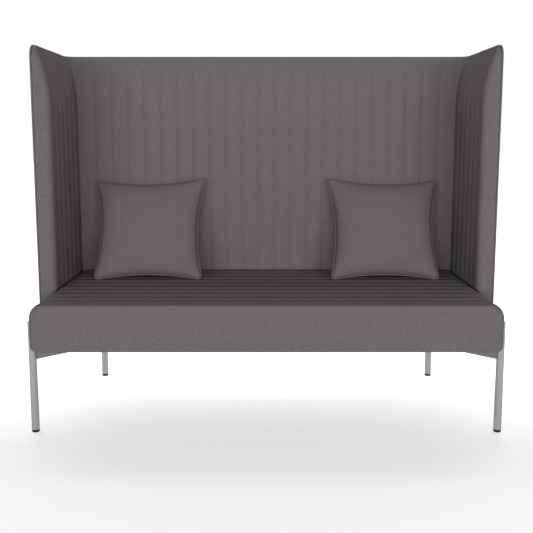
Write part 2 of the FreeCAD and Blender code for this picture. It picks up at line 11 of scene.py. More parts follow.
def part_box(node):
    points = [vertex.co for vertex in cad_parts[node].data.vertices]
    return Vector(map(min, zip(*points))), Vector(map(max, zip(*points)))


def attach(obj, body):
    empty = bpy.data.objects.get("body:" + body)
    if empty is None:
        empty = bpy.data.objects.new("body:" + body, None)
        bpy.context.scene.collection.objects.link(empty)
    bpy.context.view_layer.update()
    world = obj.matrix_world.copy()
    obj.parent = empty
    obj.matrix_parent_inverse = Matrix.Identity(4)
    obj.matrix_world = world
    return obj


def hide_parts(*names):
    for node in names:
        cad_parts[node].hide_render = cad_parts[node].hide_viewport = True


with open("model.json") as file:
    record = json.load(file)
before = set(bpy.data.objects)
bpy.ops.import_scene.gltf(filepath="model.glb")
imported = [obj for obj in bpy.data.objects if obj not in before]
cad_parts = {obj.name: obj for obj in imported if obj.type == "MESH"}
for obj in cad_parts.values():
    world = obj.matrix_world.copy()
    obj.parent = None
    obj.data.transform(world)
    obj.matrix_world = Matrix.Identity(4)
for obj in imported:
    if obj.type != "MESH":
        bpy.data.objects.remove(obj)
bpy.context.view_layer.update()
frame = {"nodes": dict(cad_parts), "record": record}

bl_info = {
    "name": "High-back Sofa",
    "version": (1, 0, 0),
    "blender": (4, 5, 0),
    "location": "View3D > Sidebar > Sofa",
    "description": "Dresses a high-back sofa with sewn channels, loose cushions and tube legs",
    "category": "Object",
}

MM = 0.001
SIDES = (("left", -1), ("right", 1))


# Places of the frame

def low(node):
    """Lowest corner of a solid of the frame."""
    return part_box(node)[0]


def high(node):
    """Highest corner of a solid of the frame."""
    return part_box(node)[1]


SEAT_HALF = high("seat_cover").x
SEAT_FRONT = low("seat_cover").y
SEAT_REAR = high("seat_cover").y
SEAT_TOP = high("seat_cover").z
SEAT_BOTTOM = low("seat_cover").z
INNER_HALF = low("right_wing_quilt").x
BACK_INNER = low("back_quilt").y
BOARD_FRONT = low("back_board").y
WING_FRONT = low("right_wing_border").y
SHELL_TOP = high("right_wing_border").z
SHELL_BOTTOM = low("right_wing_outer_cover").z
BORDER_OUTER = high("right_wing_border").x
HALF_WIDTH = high("right_wing_outer_cover").x
BACK_FACE = high("back_outer_cover").y
BORDER_WIDTH = BORDER_OUTER - INNER_HALF
QUILT = BOARD_FRONT - BACK_INNER
BOARD = high("back_board").y - BOARD_FRONT
COVER = HALF_WIDTH - BORDER_OUTER
EDGE_PADDING = low("right_wing_board").y - WING_FRONT
FRONT_CAP = low("right_wing_quilt").y - WING_FRONT
CREST_CAP = SHELL_TOP - high("back_board").z
BEVEL = high("back_quilt").y - BOARD_FRONT
RIB_FOOT = SEAT_TOP + 4 * MM


def linear(code):
    """Linear colour of an sRGB hex value."""
    parts = [int(code[place:place + 2], 16) / 255 for place in (1, 3, 5)]
    return tuple(part / 12.92 if part <= 0.04045 else ((part + 0.055) / 1.055) ** 2.4 for part in parts)


def number(name, value, words, **limits):
    """Property for a plain number or, with its subtype, an angle."""
    return FloatProperty(name=name, description=words, default=value, **limits)


def length(name, size, words):
    """Property for a size in millimetres of the real sofa."""
    return number(name, size * MM, words, min=0.0, precision=5, unit="LENGTH")


def colour(name, code, words):
    """Property for a colour of the real sofa."""
    return FloatVectorProperty(name=name, description=words, default=linear(code), min=0.0, max=1.0,
                               subtype="COLOR")


class SofaSizes(bpy.types.PropertyGroup):
    """Sizes of the upholstery and its sewing."""

    channel_pitch: length("Channel pitch", 64.0, "Distance from seam to seam")
    channel_rise: length("Channel rise", 6.0, "Height of a rib over its seams")
    seat_rise: length("Seat channel rise", 9.0, "Height of a rib of the seat over its seams")
    channel_fade: length("Channel fade", 70.0, "Height over which the ribs run out below the top")
    channel_fullness: number("Channel fullness", 2.4, "How full a rib is between its seams", min=1.5, max=6.0)
    seat_first_seam: length("First seat seam", 70.6, "Distance of the first seam from the seat's front")
    seat_roll: length("Seat roll", 24.0, "Width over which the seat's front strip rises from its seam")
    seat_front_drop: length("Seat front drop", 4.5, "How far the seat's front strip slopes down to its edge")
    seat_hem: length("Seat hem", 6.5, "How far the seat's front hangs below its underside")
    seat_hem_width: length("Seat hem width", 45.0, "Width of the hem under the seat's front")
    wing_first_seam: length("First wing seam", 70.0, "Distance of the first seam from the wing's front")
    wing_roll: length("Wing roll", 10.0, "Width over which the wing's front strip rises from its seam")
    seat_top_radius: length("Seat top radius", 50.0, "Rounding of the seat's upper end corners")
    seat_bottom_radius: length("Seat bottom radius", 13.0, "Rounding of the seat's lower end corners")
    seat_corner_radius: length("Seat corner radius", 18.0, "Rounding of the seat's upright front corners")
    seat_bulge: length("Seat bulge", 5.5, "How far the seat's soft ends swell out before the legs")
    seat_bulge_width: length("Seat bulge width", 57.0, "Depth of the stretch that swells out")
    seat_edge_radius: length("Seat edge radius", 5.0, "Rounding of the seat's long front edges")
    wing_corner_radius: length("Wing corner radius", 40.0, "Rounding of a wing's top front corner")
    rear_corner_radius: length("Rear corner radius", 45.0, "Rounding of the shell's rear corners")
    border_radius: length("Border radius", 28.0, "Rounding of the padded edge towards the inside")
    border_lip: length("Border lip", 1.5, "Rounding of the padded edge into the groove of the piping")
    crest_height: length("Crest height", 200.0, "Height over which the pads thin out towards the top edge")
    crest_roll: length("Crest roll", 3.0, "Thickness that is left of the pads at the top edge")
    bevel_start: length("Bevel start", 80.0, "Distance of the boards' bevel below the top edge")
    outer_edge_radius: length("Outer edge radius", 4.0, "Rounding of the outer cover at the piping")
    crown: length("Crown", 1.5, "How far padded panels swell in their middle")
    unevenness: length("Unevenness", 0.35, "How uneven the stuffing lies under the cloth")
    piping_diameter: length("Piping diameter", 7.0, "Thickness of the piping round the shell")
    piping_reach: length("Piping reach", 2.5, "Distance of the piping's middle outside the border")
    piping_seat: length("Piping seat", 6.3, "Depth of the rebate that the piping lies in")
    seam_gap: length("Seam gap", 0.8, "Open groove between the border and the piping")
    stitch_pitch: length("Stitch pitch", 7.0, "Distance from stitch to stitch along a channel")
    thread: length("Thread", 1.0, "Thickness of the sewing thread")


class CushionSizes(bpy.types.PropertyGroup):
    """Sizes of the loose cushions."""

    width: length("Width", 426.0, "Width of a cushion from corner to corner")
    height: length("Height", 404.0, "Height of a cushion from corner to corner")
    thickness: length("Thickness", 130.0, "Thickness in the middle")
    draw_in: length("Draw in", 30.0, "How far a side pulls in between its corners")
    corner_radius: length("Corner radius", 27.0, "Rounding of the corners")
    taper: number("Taper", 0.07, "Share by which the foot is narrower than the top")
    skew: number("Skew", 0.025, "Share by which the inner side is taller")
    foot_share: number("Foot share", 0.75, "Share of the draw-in that the foot has", min=0.0)
    welt: length("Welt", 4.4, "Thickness of the piping round the edge")
    lean: number("Lean", math.radians(27.5), "Lean of a cushion towards the back", subtype="ANGLE")
    roll: number("Roll", math.radians(0.8), "Turn of a cushion in its own plane", subtype="ANGLE")
    pressure: number("Pressure", 4.0, "Pressure of the filling on the cloth", min=0.0)
    swell_limit: length("Swell limit", 28.0, "Farthest that the cloth may move while it is filled")


class LegSizes(bpy.types.PropertyGroup):
    """Finish of the legs and their fittings."""

    rim: length("Rim", 1.2, "Rounding of a leg's upper rim")
    glide_rim: length("Glide rim", 2.0, "Rounding under a glide")
    plate_edge: length("Plate edge", 0.8, "Rounding of the brackets' edges")
    sag: length("Dust cover sag", 3.0, "How far the dust cover hangs between its tacks")


class SofaColours(bpy.types.PropertyGroup):
    """Colours of the sofa's materials."""

    cloth_dark: colour("Dark fibres", "#605c5b", "Darker fibres of the wool cloth")
    cloth_light: colour("Light fibres", "#777271", "Lighter fibres of the wool cloth")
    steel: colour("Leg", "#acacac", "Satin steel of the legs")
    # The brackets' grey is darker than the legs partly as painted shade, for the seat's shadow over them.
    bracket: colour("Bracket", "#6a6a6a", "Grey paint of the brackets")
    glide: colour("Glide", "#121212", "Black plastic of the glides")
    zinc: colour("Bolt", "#b4b6b8", "Zinc on the bolts")
    ply: colour("Plywood", "#c9a873", "Birch plywood and beech of the frame")
    strap: colour("Webbing", "#4a453d", "Elastic webbing")
    under: colour("Dust cloth", "#1f1f1f", "Dust cloth under the seat")
    floor: colour("Floor", "#f2f2f2", "Studio floor")


# Materials

# Sockets of a mix node that are for colours
FIRST_COLOUR = 6
SECOND_COLOUR = 7
MIXED_COLOUR = 2


def add(tree, kind, sockets, **settings):
    """Adds a node with its settings. A socket is linked, any other value is set."""
    made = tree.nodes.new(kind)
    for name, value in settings.items():
        setattr(made, name, value)
    for name, value in sockets.items():
        if isinstance(value, bpy.types.NodeSocket):
            tree.links.new(value, made.inputs[name])
        else:
            made.inputs[name].default_value = value
    return made


def opaque(rgb):
    """Colour with full alpha."""
    return (*rgb, 1.0)


def start_material(name):
    """Empty material with its tree, or None for the tree if the material is already made."""
    known = bpy.data.materials.get(name)
    if known:
        return known, None
    material = bpy.data.materials.new(name)
    material.use_nodes = True
    material.node_tree.nodes.clear()
    return material, material.node_tree


def finish_material(tree, look):
    """Sends a surface with a look to the output."""
    shader = add(tree, "ShaderNodeBsdfPrincipled", look)
    add(tree, "ShaderNodeOutputMaterial", {"Surface": shader.outputs["BSDF"]})


def wool_cloth():
    """Melange wool: dull, with light and dark fibres that show as a fine grain."""
    material, tree = start_material("Wool melange cloth, woven")
    if tree is None:
        return material
    colours = bpy.context.scene.sofa_colours
    # Real fibres and yarns are finer. They are drawn this coarse so that they show in the render.
    fibre = 2.2 * MM
    cloud = 6.0 * MM
    yarn = 1.6 * MM
    cloud_weight = 0.35
    all_dark = 0.47
    all_light = 0.88
    place = add(tree, "ShaderNodeTexCoord", {}).outputs["Object"]
    fibres = add(tree, "ShaderNodeTexNoise", {"Vector": place, "Scale": 1 / fibre, "Detail": 3.0})
    clouds = add(tree, "ShaderNodeTexNoise", {"Vector": place, "Scale": 1 / cloud, "Detail": 2.0})
    both = add(tree, "ShaderNodeMath", {
        0: clouds.outputs["Fac"], 1: cloud_weight, 2: fibres.outputs["Fac"]}, operation="MULTIPLY_ADD")
    spread = add(tree, "ShaderNodeMapRange", {
        "Value": both.outputs[0], "From Min": all_dark, "From Max": all_light})
    tint = add(tree, "ShaderNodeMix", {
        "Factor": spread.outputs["Result"], FIRST_COLOUR: opaque(colours.cloth_dark),
        SECOND_COLOUR: opaque(colours.cloth_light)}, data_type="RGBA")
    weave = add(tree, "ShaderNodeTexNoise", {"Vector": place, "Scale": 1 / yarn, "Detail": 1.0})
    relief = add(tree, "ShaderNodeBump", {
        "Height": weave.outputs["Fac"], "Strength": 0.35, "Distance": 0.5 * MM})
    finish_material(tree, {
        "Base Color": tint.outputs[MIXED_COLOUR], "Normal": relief.outputs["Normal"], "Roughness": 0.95,
        "Specular IOR Level": 0.0})
    return material


def plain(name, tone, roughness, size, bump, metallic=0.0, edge=1.0):
    """Even finish with a grain in its surface, of a size and depth in millimetres.
    A grain too fine to show is drawn coarser. edge is the tint where the finish is seen at a low angle."""
    material, tree = start_material(name)
    if tree is None:
        return material
    rgb = getattr(bpy.context.scene.sofa_colours, tone)
    place = add(tree, "ShaderNodeTexCoord", {}).outputs["Object"]
    pattern = add(tree, "ShaderNodeTexNoise", {"Vector": place, "Scale": 1 / (size * MM), "Detail": 2.0})
    relief = add(tree, "ShaderNodeBump", {
        "Height": pattern.outputs["Fac"], "Strength": 0.2, "Distance": bump * MM})
    finish_material(tree, {
        "Base Color": opaque(rgb), "Metallic": metallic, "Roughness": roughness,
        "Specular Tint": opaque([edge] * 3), "Normal": relief.outputs["Normal"]})
    return material


def satin_steel():
    """Satin steel tube: soft long highlights, no mirror image. Its near-black edge tint darkens the tube's
    sides: painted shade.
    """
    return plain("Satin steel, brushed", "steel", roughness=0.34, size=0.8, bump=0.02, metallic=1.0,
                 edge=0.12)


def grey_paint_and_shade():
    """Powder-coated steel: even grey with a faint orange-peel sheen. The grey is partly the paint and partly
    painted shade: it is drawn darker for the shadow that the seat casts on the brackets.
    """
    return plain("Powder-coated steel", "bracket", roughness=0.45, size=1.2, bump=0.05)


def black_plastic():
    """Moulded polypropylene: black, nearly dull."""
    return plain("Polypropylene, moulded", "glide", roughness=0.5, size=0.6, bump=0.02)


def zinc_plate():
    """Zinc-plated bolts: pale metal, a little cloudy."""
    return plain("Zinc-plated steel", "zinc", roughness=0.4, size=0.5, bump=0.02, metallic=1.0)


def elastic_webbing():
    """Elastic webbing: dull, woven in ribs."""
    return plain("Elastic webbing, woven", "strap", roughness=0.9, size=1.5, bump=0.3)


def dust_cloth():
    """Non-woven polypropylene cloth: nearly black, dull, with pressed dimples."""
    return plain("Non-woven dust cloth", "under", roughness=0.9, size=1.6, bump=0.2)


def birch_ply():
    """Birch and beech: pale, with a grain of darker streaks along the piece."""
    material, tree = start_material("Birch plywood and beech, sawn")
    if tree is None:
        return material
    pale = bpy.context.scene.sofa_colours.ply
    dark = [part * 0.6 for part in pale]
    streak = 5.0 * MM
    stretch = (0.08, 0.5, 1.0)
    place = add(tree, "ShaderNodeTexCoord", {}).outputs["Object"]
    drawn_out = add(tree, "ShaderNodeMapping", {"Vector": place, "Scale": stretch})
    rings = add(tree, "ShaderNodeTexNoise", {
        "Vector": drawn_out.outputs["Vector"], "Scale": 1 / streak, "Detail": 3.0})
    tint = add(tree, "ShaderNodeMix", {
        "Factor": rings.outputs["Fac"], FIRST_COLOUR: opaque(pale), SECOND_COLOUR: opaque(dark)},
        data_type="RGBA")
    finish_material(tree, {"Base Color": tint.outputs[MIXED_COLOUR], "Roughness": 0.6})
    return material


# Meshes and pieces

def linked(name, data):
    """New object in the scene."""
    made = bpy.data.objects.new(name, data)
    bpy.context.scene.collection.objects.link(made)
    return made


def finished(work, name, sharp=None):
    """Smooth mesh of what was worked out, with edges that are sharp from an angle in degrees."""
    mesh = bpy.data.meshes.new(name)
    work.to_mesh(mesh)
    work.free()
    mesh.shade_smooth()
    if sharp:
        mesh.set_sharp_from_angle(angle=math.radians(sharp))
    return mesh


def sewn_mesh(name, patches):
    """Closed mesh from grids of points that meet along their borders."""
    closest = 0.02 * MM
    work = bmesh.new()
    for patch in patches:
        grid = [[work.verts.new(point) for point in row] for row in patch]
        for near, far in zip(grid, grid[1:]):
            for corners in zip(near, near[1:], far[1:], far):
                work.faces.new(corners)
    bmesh.ops.remove_doubles(work, verts=work.verts, dist=closest)
    bmesh.ops.holes_fill(work, edges=[edge for edge in work.edges if edge.is_boundary])
    bmesh.ops.recalc_face_normals(work, faces=work.faces)
    return finished(work, name, sharp=50)


def solid_copy(node):
    """Working copy of a solid of the frame."""
    closest = 0.01 * MM
    work = bmesh.new()
    work.from_mesh(frame["nodes"][node].data)
    bmesh.ops.remove_doubles(work, verts=work.verts, dist=closest)
    return work


def stuffed(mesh, amount):
    """Makes the padding under the cloth a little uneven."""
    clump = 45 * MM
    count = len(mesh.vertices)
    places = np.empty(count * 3, dtype=np.float32)
    normals = np.empty(count * 3, dtype=np.float32)
    mesh.vertices.foreach_get("co", places)
    mesh.vertex_normals.foreach_get("vector", normals)
    lift = np.repeat([noise.noise(Vector(place) / clump) for place in places.reshape(-1, 3)], 3)
    mesh.vertices.foreach_set("co", places + normals * lift * amount)
    mesh.update()
    return mesh


def add_piece(mesh, material, nodes=(), body="sofa"):
    """Shows a mesh as a piece of the sofa in place of solids of the frame."""
    mesh.materials.clear()
    mesh.materials.append(material)
    piece = linked(mesh.name, mesh)
    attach(piece, body)
    if nodes:
        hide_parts(*nodes)
    return piece


def add_cloth(mesh, nodes=(), body="sofa"):
    """Shows a mesh as a piece of wool cloth."""
    return add_piece(mesh, wool_cloth(), nodes, body)


def upholster(name, patches, nodes, sizes):
    """Shows patches as one padded piece that is stuffed a little unevenly."""
    mesh = stuffed(sewn_mesh(name, patches), sizes.unevenness)
    add_cloth(mesh, nodes)


def eased(share):
    """Smooth step from 0 to 1."""
    share = np.clip(share, 0.0, 1.0)
    return share * share * (3 - 2 * share)


def quarter(count):
    """Angles of a quarter turn."""
    return np.linspace(0.0, math.pi / 2, count)


def arc(radius, over):
    """Height of an arc over its centre, at a distance from the centre."""
    return np.sqrt(radius ** 2 - np.clip(over, 0, radius) ** 2)


# Sewn channels

def seam_lines(first, stop, pitch):
    """Seams one pitch apart, the last at least a third of a pitch before the stop."""
    return np.arange(first, stop - pitch / 3, pitch)


def rib_samples(start, end, seams, count):
    """Places from start to end, closest together at the seams."""
    stops = [start, *seams, end]
    places = []
    for near, far in zip(stops, stops[1:]):
        places.extend(near + (far - near) * (1 - np.cos(np.linspace(0, math.pi, count, endpoint=False))) / 2)
    places.append(end)
    return np.array(places)


def rib_share(along, seams, fullness, lead_in, run_out):
    """Share of its full height that the quilting has at each place. It is 0 on a seam."""
    share = np.ones_like(along)
    for near, far in zip(seams, seams[1:]):
        inside = (along >= near) & (along <= far)
        share[inside] = 1 - np.abs(2 * (along[inside] - near) / (far - near) - 1) ** fullness
    before = along < seams[0]
    share[before] = 1 - (1 - np.clip((seams[0] - along[before]) / lead_in, 0, 1)) ** fullness
    after = along > seams[-1]
    share[after] = 1 - (1 - np.clip((along[after] - seams[-1]) / run_out, 0, 1)) ** fullness
    return share


def seat_seams(sizes):
    """Seams of the seat, front to rear."""
    return seam_lines(SEAT_FRONT + sizes.seat_first_seam, BACK_INNER, sizes.channel_pitch)


def wing_seams(sizes):
    """Seams of a wing, front to rear."""
    return seam_lines(WING_FRONT + sizes.wing_first_seam, BACK_INNER, sizes.channel_pitch)


def back_seams(sizes):
    """Seams of the back, left to right. The outer ribs end flat in the inner corners."""
    count = round(2 * INNER_HALF / sizes.channel_pitch)
    return np.linspace(-INNER_HALF, INNER_HALF, count + 1)[1:-1]


def seat_level(x, sizes):
    """Height of the seat's rounded outline at a distance from its middle."""
    radius = sizes.seat_top_radius
    return SEAT_TOP - radius + arc(radius, np.abs(x) - (SEAT_HALF - radius))


# Seat

def seat_halves(half, top, bottom, upper_radius, lower_radius):
    """Upper and lower half of the seat's front view, left to right, and how far the upper one faces up."""
    middle = (top + bottom) / 2
    turn = quarter(9)
    rise = np.linspace(0, 1, 4, endpoint=False)
    across = np.linspace(-1, 1, 90)[1:-1]
    halves = []
    for edge, radius in ((top, upper_radius), (bottom, lower_radius)):
        way = math.copysign(1, edge - middle)
        side = middle + rise * (edge - way * radius - middle)
        left = np.concatenate([np.full(len(rise), -half), -half + radius * (1 - np.cos(turn))])
        height = np.concatenate([side, edge - way * radius * (1 - np.sin(turn))])
        x = np.concatenate([left, across * (half - radius), -left[::-1]])
        z = np.concatenate([height, np.full(len(across), edge), height[::-1]])
        halves.append((x, z))
    facing = np.concatenate([np.zeros(len(rise)), np.sin(turn)])
    facing = np.concatenate([facing, np.ones(len(across)), facing[::-1]])
    return halves[0], halves[1], facing


def seat_patches(sizes):
    """Tube of the seat from front to rear, and its smooth front."""
    edge = sizes.seat_edge_radius
    corner = sizes.seat_corner_radius
    seams = seat_seams(sizes)
    start = SEAT_FRONT + corner
    rounding = np.concatenate([edge * (1 - np.cos(quarter(6))), np.linspace(edge, corner, 5)[1:-1]])
    places = np.concatenate([SEAT_FRONT + rounding, rib_samples(start, BACK_INNER, seams, 14), [SEAT_REAR]])
    share = rib_share(places, seams, sizes.channel_fullness, sizes.seat_roll, sizes.channel_pitch / 2)
    rows = []
    for y, rib in zip(places, share):
        gone = y - SEAT_FRONT
        long_inset = edge - arc(edge, edge - gone)
        side_inset = corner - arc(corner, corner - gone)
        swell = sizes.seat_bulge * math.sin(math.pi * min(gone / sizes.seat_bulge_width, 1)) ** 2
        slope = sizes.seat_front_drop * max(1 - gone / sizes.seat_first_seam, 0) ** 2
        hem = sizes.seat_hem * (1 - eased(gone / sizes.seat_hem_width))
        upper, lower, facing = seat_halves(
            SEAT_HALF - side_inset + swell, SEAT_TOP - long_inset, SEAT_BOTTOM - hem + long_inset,
            sizes.seat_top_radius - long_inset, sizes.seat_bottom_radius - long_inset)
        flat_part = facing ** 3
        sunk = upper[1] - (sizes.seat_rise * (1 - rib) + slope) * flat_part
        x = np.concatenate([upper[0], lower[0][::-1]])
        z = np.concatenate([sunk, lower[1][::-1]])
        ring = np.stack([x, np.full(len(x), y), z], axis=1)
        rows.append(np.vstack([ring, ring[:1]]))
    tube = np.array(rows)
    count = len(facing)
    top_row = tube[0][:count]
    bottom_row = tube[0][count:2 * count][::-1]
    front = []
    for share in np.linspace(0, 1, 13):
        row = bottom_row + (top_row - bottom_row) * share
        row[:, 1] -= sizes.crown * (1 - (2 * share - 1) ** 2)
        front.append(row)
    return [tube, np.array(front)]


class SOFA_OT_seat(bpy.types.Operator):
    """Quilted seat: channels across the width, rounded ends and a smooth front"""

    bl_idname = "sofa.seat"
    bl_label = "Seat"

    def execute(self, context):
        sizes = context.scene.sofa_sizes
        upholster("seat_upholstery", seat_patches(sizes), ("seat_cover", "seat_foam"), sizes)
        return {"FINISHED"}


# Back and wings

def round_the_mitre(along, depth, corner, sizes):
    """Place of a border point near the mitre. along runs to the inner corner, depth goes outwards.
    The outer side stretches round the shell's rounded rear corner."""
    reach = 120 * MM
    radius = sizes.rear_corner_radius - COVER
    centre = BORDER_WIDTH - radius
    straight = reach + centre
    path = straight + radius * math.pi / 4
    gone = path * np.clip((along - corner + reach) / reach, 0, 1)
    turn = np.clip((gone - straight) / radius, 0, math.pi / 4)
    outer_along = corner - reach + np.minimum(gone, straight) + radius * np.sin(turn)
    outer_depth = np.where(gone > straight, centre + radius * np.cos(turn), BORDER_WIDTH)
    share = depth / BORDER_WIDTH
    stretched = along > corner - reach
    new_along = np.where(stretched, along + (outer_along - along) * share, along)
    return new_along, np.where(stretched, outer_depth * share, depth)


def border_end(sizes):
    """Depth at which the padded edge turns into the groove of the piping."""
    piping = BORDER_WIDTH + sizes.piping_reach - sizes.piping_diameter / 2
    return piping - sizes.seam_gap - sizes.border_lip


def crest(below, sizes):
    """How far the face of a pad has drawn back, at a distance below the top edge."""
    depth = border_end(sizes) - sizes.crest_roll
    radius = (sizes.crest_height ** 2 + depth ** 2) / (2 * depth)
    return radius - arc(radius, sizes.crest_height - below)


def edge_roll(angle, sizes):
    """Rounding of the padded edge at an angle round the wing's corner, from its front to its top.
    It is found in rounds, because the room for it depends on where it starts."""
    rounds = 30
    used_share = 0.95
    least = 0.5 * sizes.crest_roll
    corner = sizes.wing_corner_radius
    roll = np.full_like(angle, sizes.border_radius)
    for _ in range(rounds):
        room = border_end(sizes) - crest(corner - (corner - roll) * np.sin(angle), sizes)
        roll = np.clip(used_share * room, least, sizes.border_radius)
    return roll


def padded_edge(start, roll, angle, sizes):
    """Rows of the padded edge: depth from the inner face, and distance in from the wing's outline.
    It starts at a depth of the face, rolls over to the front and ends behind its piping."""
    end = border_end(sizes)
    lip = sizes.border_lip
    width = end - start - roll
    rows = [(start + roll * (1 - np.cos(turn)), roll * (1 - np.sin(turn))) for turn in quarter(9)]
    rows += [(start + roll + width * share, -sizes.crown * math.sin(math.pi * share) * width / BORDER_WIDTH)
             for share in np.linspace(0, 1, 6)[1:]]
    rows += [(end + lip * np.sin(turn), lip * (1 - np.cos(turn))) for turn in quarter(4)[1:]]
    upward = np.sin(angle)
    cap = FRONT_CAP + (CREST_CAP - FRONT_CAP) * upward
    inner = EDGE_PADDING + (CREST_CAP - EDGE_PADDING) * upward
    groove = sizes.piping_seat
    rows += [(end + lip, groove), (BORDER_WIDTH, groove), (BORDER_WIDTH, cap), (QUILT + BOARD, cap),
             (QUILT, inner)]
    return [np.broadcast_arrays(depth, distance, start)[:2] for depth, distance in rows]


def board_face(z, sizes):
    """Depth of a board's inner face, with the bevel below its top."""
    share = (sizes.bevel_start - (SHELL_TOP - z)) / (sizes.bevel_start - CREST_CAP)
    return QUILT + BEVEL * np.clip(share, 0, 1)


def rising(bottom, top, fade):
    """Heights from the bottom to the top, closer together where the ribs run out."""
    full = top - 1.3 * fade
    return np.concatenate([np.linspace(bottom, full, 24, endpoint=False), np.linspace(full, top, 16)])


def seam_depth(z, sizes):
    """Depth of a seam of the back or a wing below the ribs, which run out towards the top."""
    smooth_top = 12 * MM
    return sizes.channel_rise * eased((SHELL_TOP - z - smooth_top) / sizes.channel_fade)


def back_patches(sizes):
    """Quilted face and padded top of the back, round to the board."""
    seams = back_seams(sizes)
    x = rib_samples(-INNER_HALF, INNER_HALF, seams, 12)
    side = np.sign(x)
    share = rib_share(x, seams, sizes.channel_fullness, sizes.channel_pitch / 2, sizes.channel_pitch / 2)
    gap = 0.5 * MM
    foot = seat_level(x, sizes) + gap
    upright = np.full_like(x, math.pi / 2)
    roll = edge_roll(upright, sizes)
    face_top = SHELL_TOP - roll[0]

    def place(depth, z):
        along, out = round_the_mitre(np.abs(x), depth, INNER_HALF, sizes)
        return np.stack([side * along, BACK_INNER + out, z], axis=1)

    rows = []
    for z in rising(SEAT_TOP, face_top, sizes.channel_fade):
        height = foot + (z - SEAT_TOP) * (face_top - foot) / (face_top - SEAT_TOP)
        depth = crest(SHELL_TOP - height, sizes) + seam_depth(height, sizes) * (1 - share)
        rows.append(place(depth, height))
    start = crest(roll, sizes)
    for depth, inset in padded_edge(start, roll, upright, sizes)[1:-1]:
        rows.append(place(depth, SHELL_TOP - inset))
    for z in (SHELL_TOP - CREST_CAP, SHELL_TOP - sizes.bevel_start):
        level = np.full_like(x, z)
        rows.append(place(board_face(level, sizes), level))
    rows.append(place(np.full_like(x, QUILT), foot))
    return [np.array(rows + rows[:1])]


def corner_bend(roll, sizes):
    """Top front corner of a wing's face: angle round it, place, height and distance from the outline."""
    angle = quarter(13)
    inset = roll(angle)
    reach = sizes.wing_corner_radius - inset
    y = WING_FRONT + sizes.wing_corner_radius - reach * np.cos(angle)
    z = SHELL_TOP - sizes.wing_corner_radius + reach * np.sin(angle)
    return angle, y, z, inset


def wing_panel(samples, heights, bend, relief, profile, place):
    """Face of a wing as rows of points, the rolled edge round its front and top as rows of (y, z, depth),
    and the heights of the face's rows. relief gives the face's depth at (y, z), profile the edge's section,
    place the points for (y, z, depth)."""
    angle, bend_y, bend_z, bend_inset = bend
    columns = np.unique(np.round(np.concatenate([samples, bend_y]), 5))
    tops = np.interp(columns, bend_y, bend_z)
    level_stretch = 60 * MM
    split = bend_z[0] - level_stretch
    levels = []
    for height in heights:
        lifted = split + (height - split) * (tops - split) / (bend_z[-1] - split)
        levels.append(np.where(height < split, height, lifted))
    face = [place(columns, z, relief(columns, z)) for z in levels]
    front_z = np.array(levels)[:, 0]
    y = np.concatenate([np.full(len(front_z), columns[0]), columns[1:]])
    z = np.concatenate([front_z, tops[1:]])
    turn = np.interp(y, bend_y, angle)
    inset = np.interp(y, bend_y, bend_inset)
    edge = []
    for depth, distance in profile(relief(y, z), inset, turn):
        step = inset - distance
        edge.append((y - np.cos(turn) * step, z + np.sin(turn) * step, depth))
    return face, edge, levels


def wing_patches(side, sizes):
    """Quilted face and padded edge of one wing, round to its board."""
    seams = wing_seams(sizes)
    start = WING_FRONT + sizes.border_radius
    bend = corner_bend(lambda angle: edge_roll(angle, sizes), sizes)
    low_top = SEAT_TOP - sizes.seat_top_radius
    heights = np.concatenate([np.linspace(SHELL_BOTTOM, low_top, 3),
                              np.linspace(low_top, RIB_FOOT, 9)[1:],
                              rising(RIB_FOOT, bend[2][-1], sizes.channel_fade)[1:]])
    gap = 0.6 * MM

    def relief(y, z):
        share = rib_share(y, seams, sizes.channel_fullness, sizes.wing_roll, sizes.channel_pitch / 2)
        return crest(SHELL_TOP - z, sizes) + seam_depth(z, sizes) * (1 - share)

    def place(y, z, depth):
        along, out = round_the_mitre(y, depth, BACK_INNER, sizes)
        x = INNER_HALF + out
        radius = sizes.seat_top_radius
        seat_side = SEAT_HALF - radius + arc(radius, z - (SEAT_TOP - radius)) + gap
        x = np.where(z < SEAT_TOP + gap, np.maximum(x, seat_side), x)
        return np.stack([side * x, along, z], axis=1)

    def profile(depth, inset, angle):
        return padded_edge(depth, inset, angle, sizes)

    samples = rib_samples(start, BACK_INNER, seams, 12)
    face, edge, levels = wing_panel(samples, heights, bend, relief, profile, place)
    last_y, last_z, _ = edge[-1]
    edge[-1] = (last_y, last_z, board_face(last_z, sizes))
    columns = last_y[len(levels) - 1:]
    tops = last_z[len(levels) - 1:]
    back = []
    for level in levels:
        z = SHELL_BOTTOM + (level - SHELL_BOTTOM) * (tops - SHELL_BOTTOM) / (levels[-1] - SHELL_BOTTOM)
        back.append(place(columns, z, board_face(z, sizes)))
    rim = [place(*row) for row in edge]
    return [np.array(face), np.array(rim), np.array(back), np.array([face[0], back[0]])]


def outer_profile(sizes):
    """Section of the outer cover's rolled edge: depth from the outer face, distance from the outline."""
    radius = sizes.outer_edge_radius
    turn = quarter(6)
    pad = COVER + sizes.piping_seat
    points = list(zip(radius * (1 - np.cos(turn)), sizes.piping_seat + radius * (1 - np.sin(turn))))
    return points + [(pad, sizes.piping_seat), (pad, FRONT_CAP)]


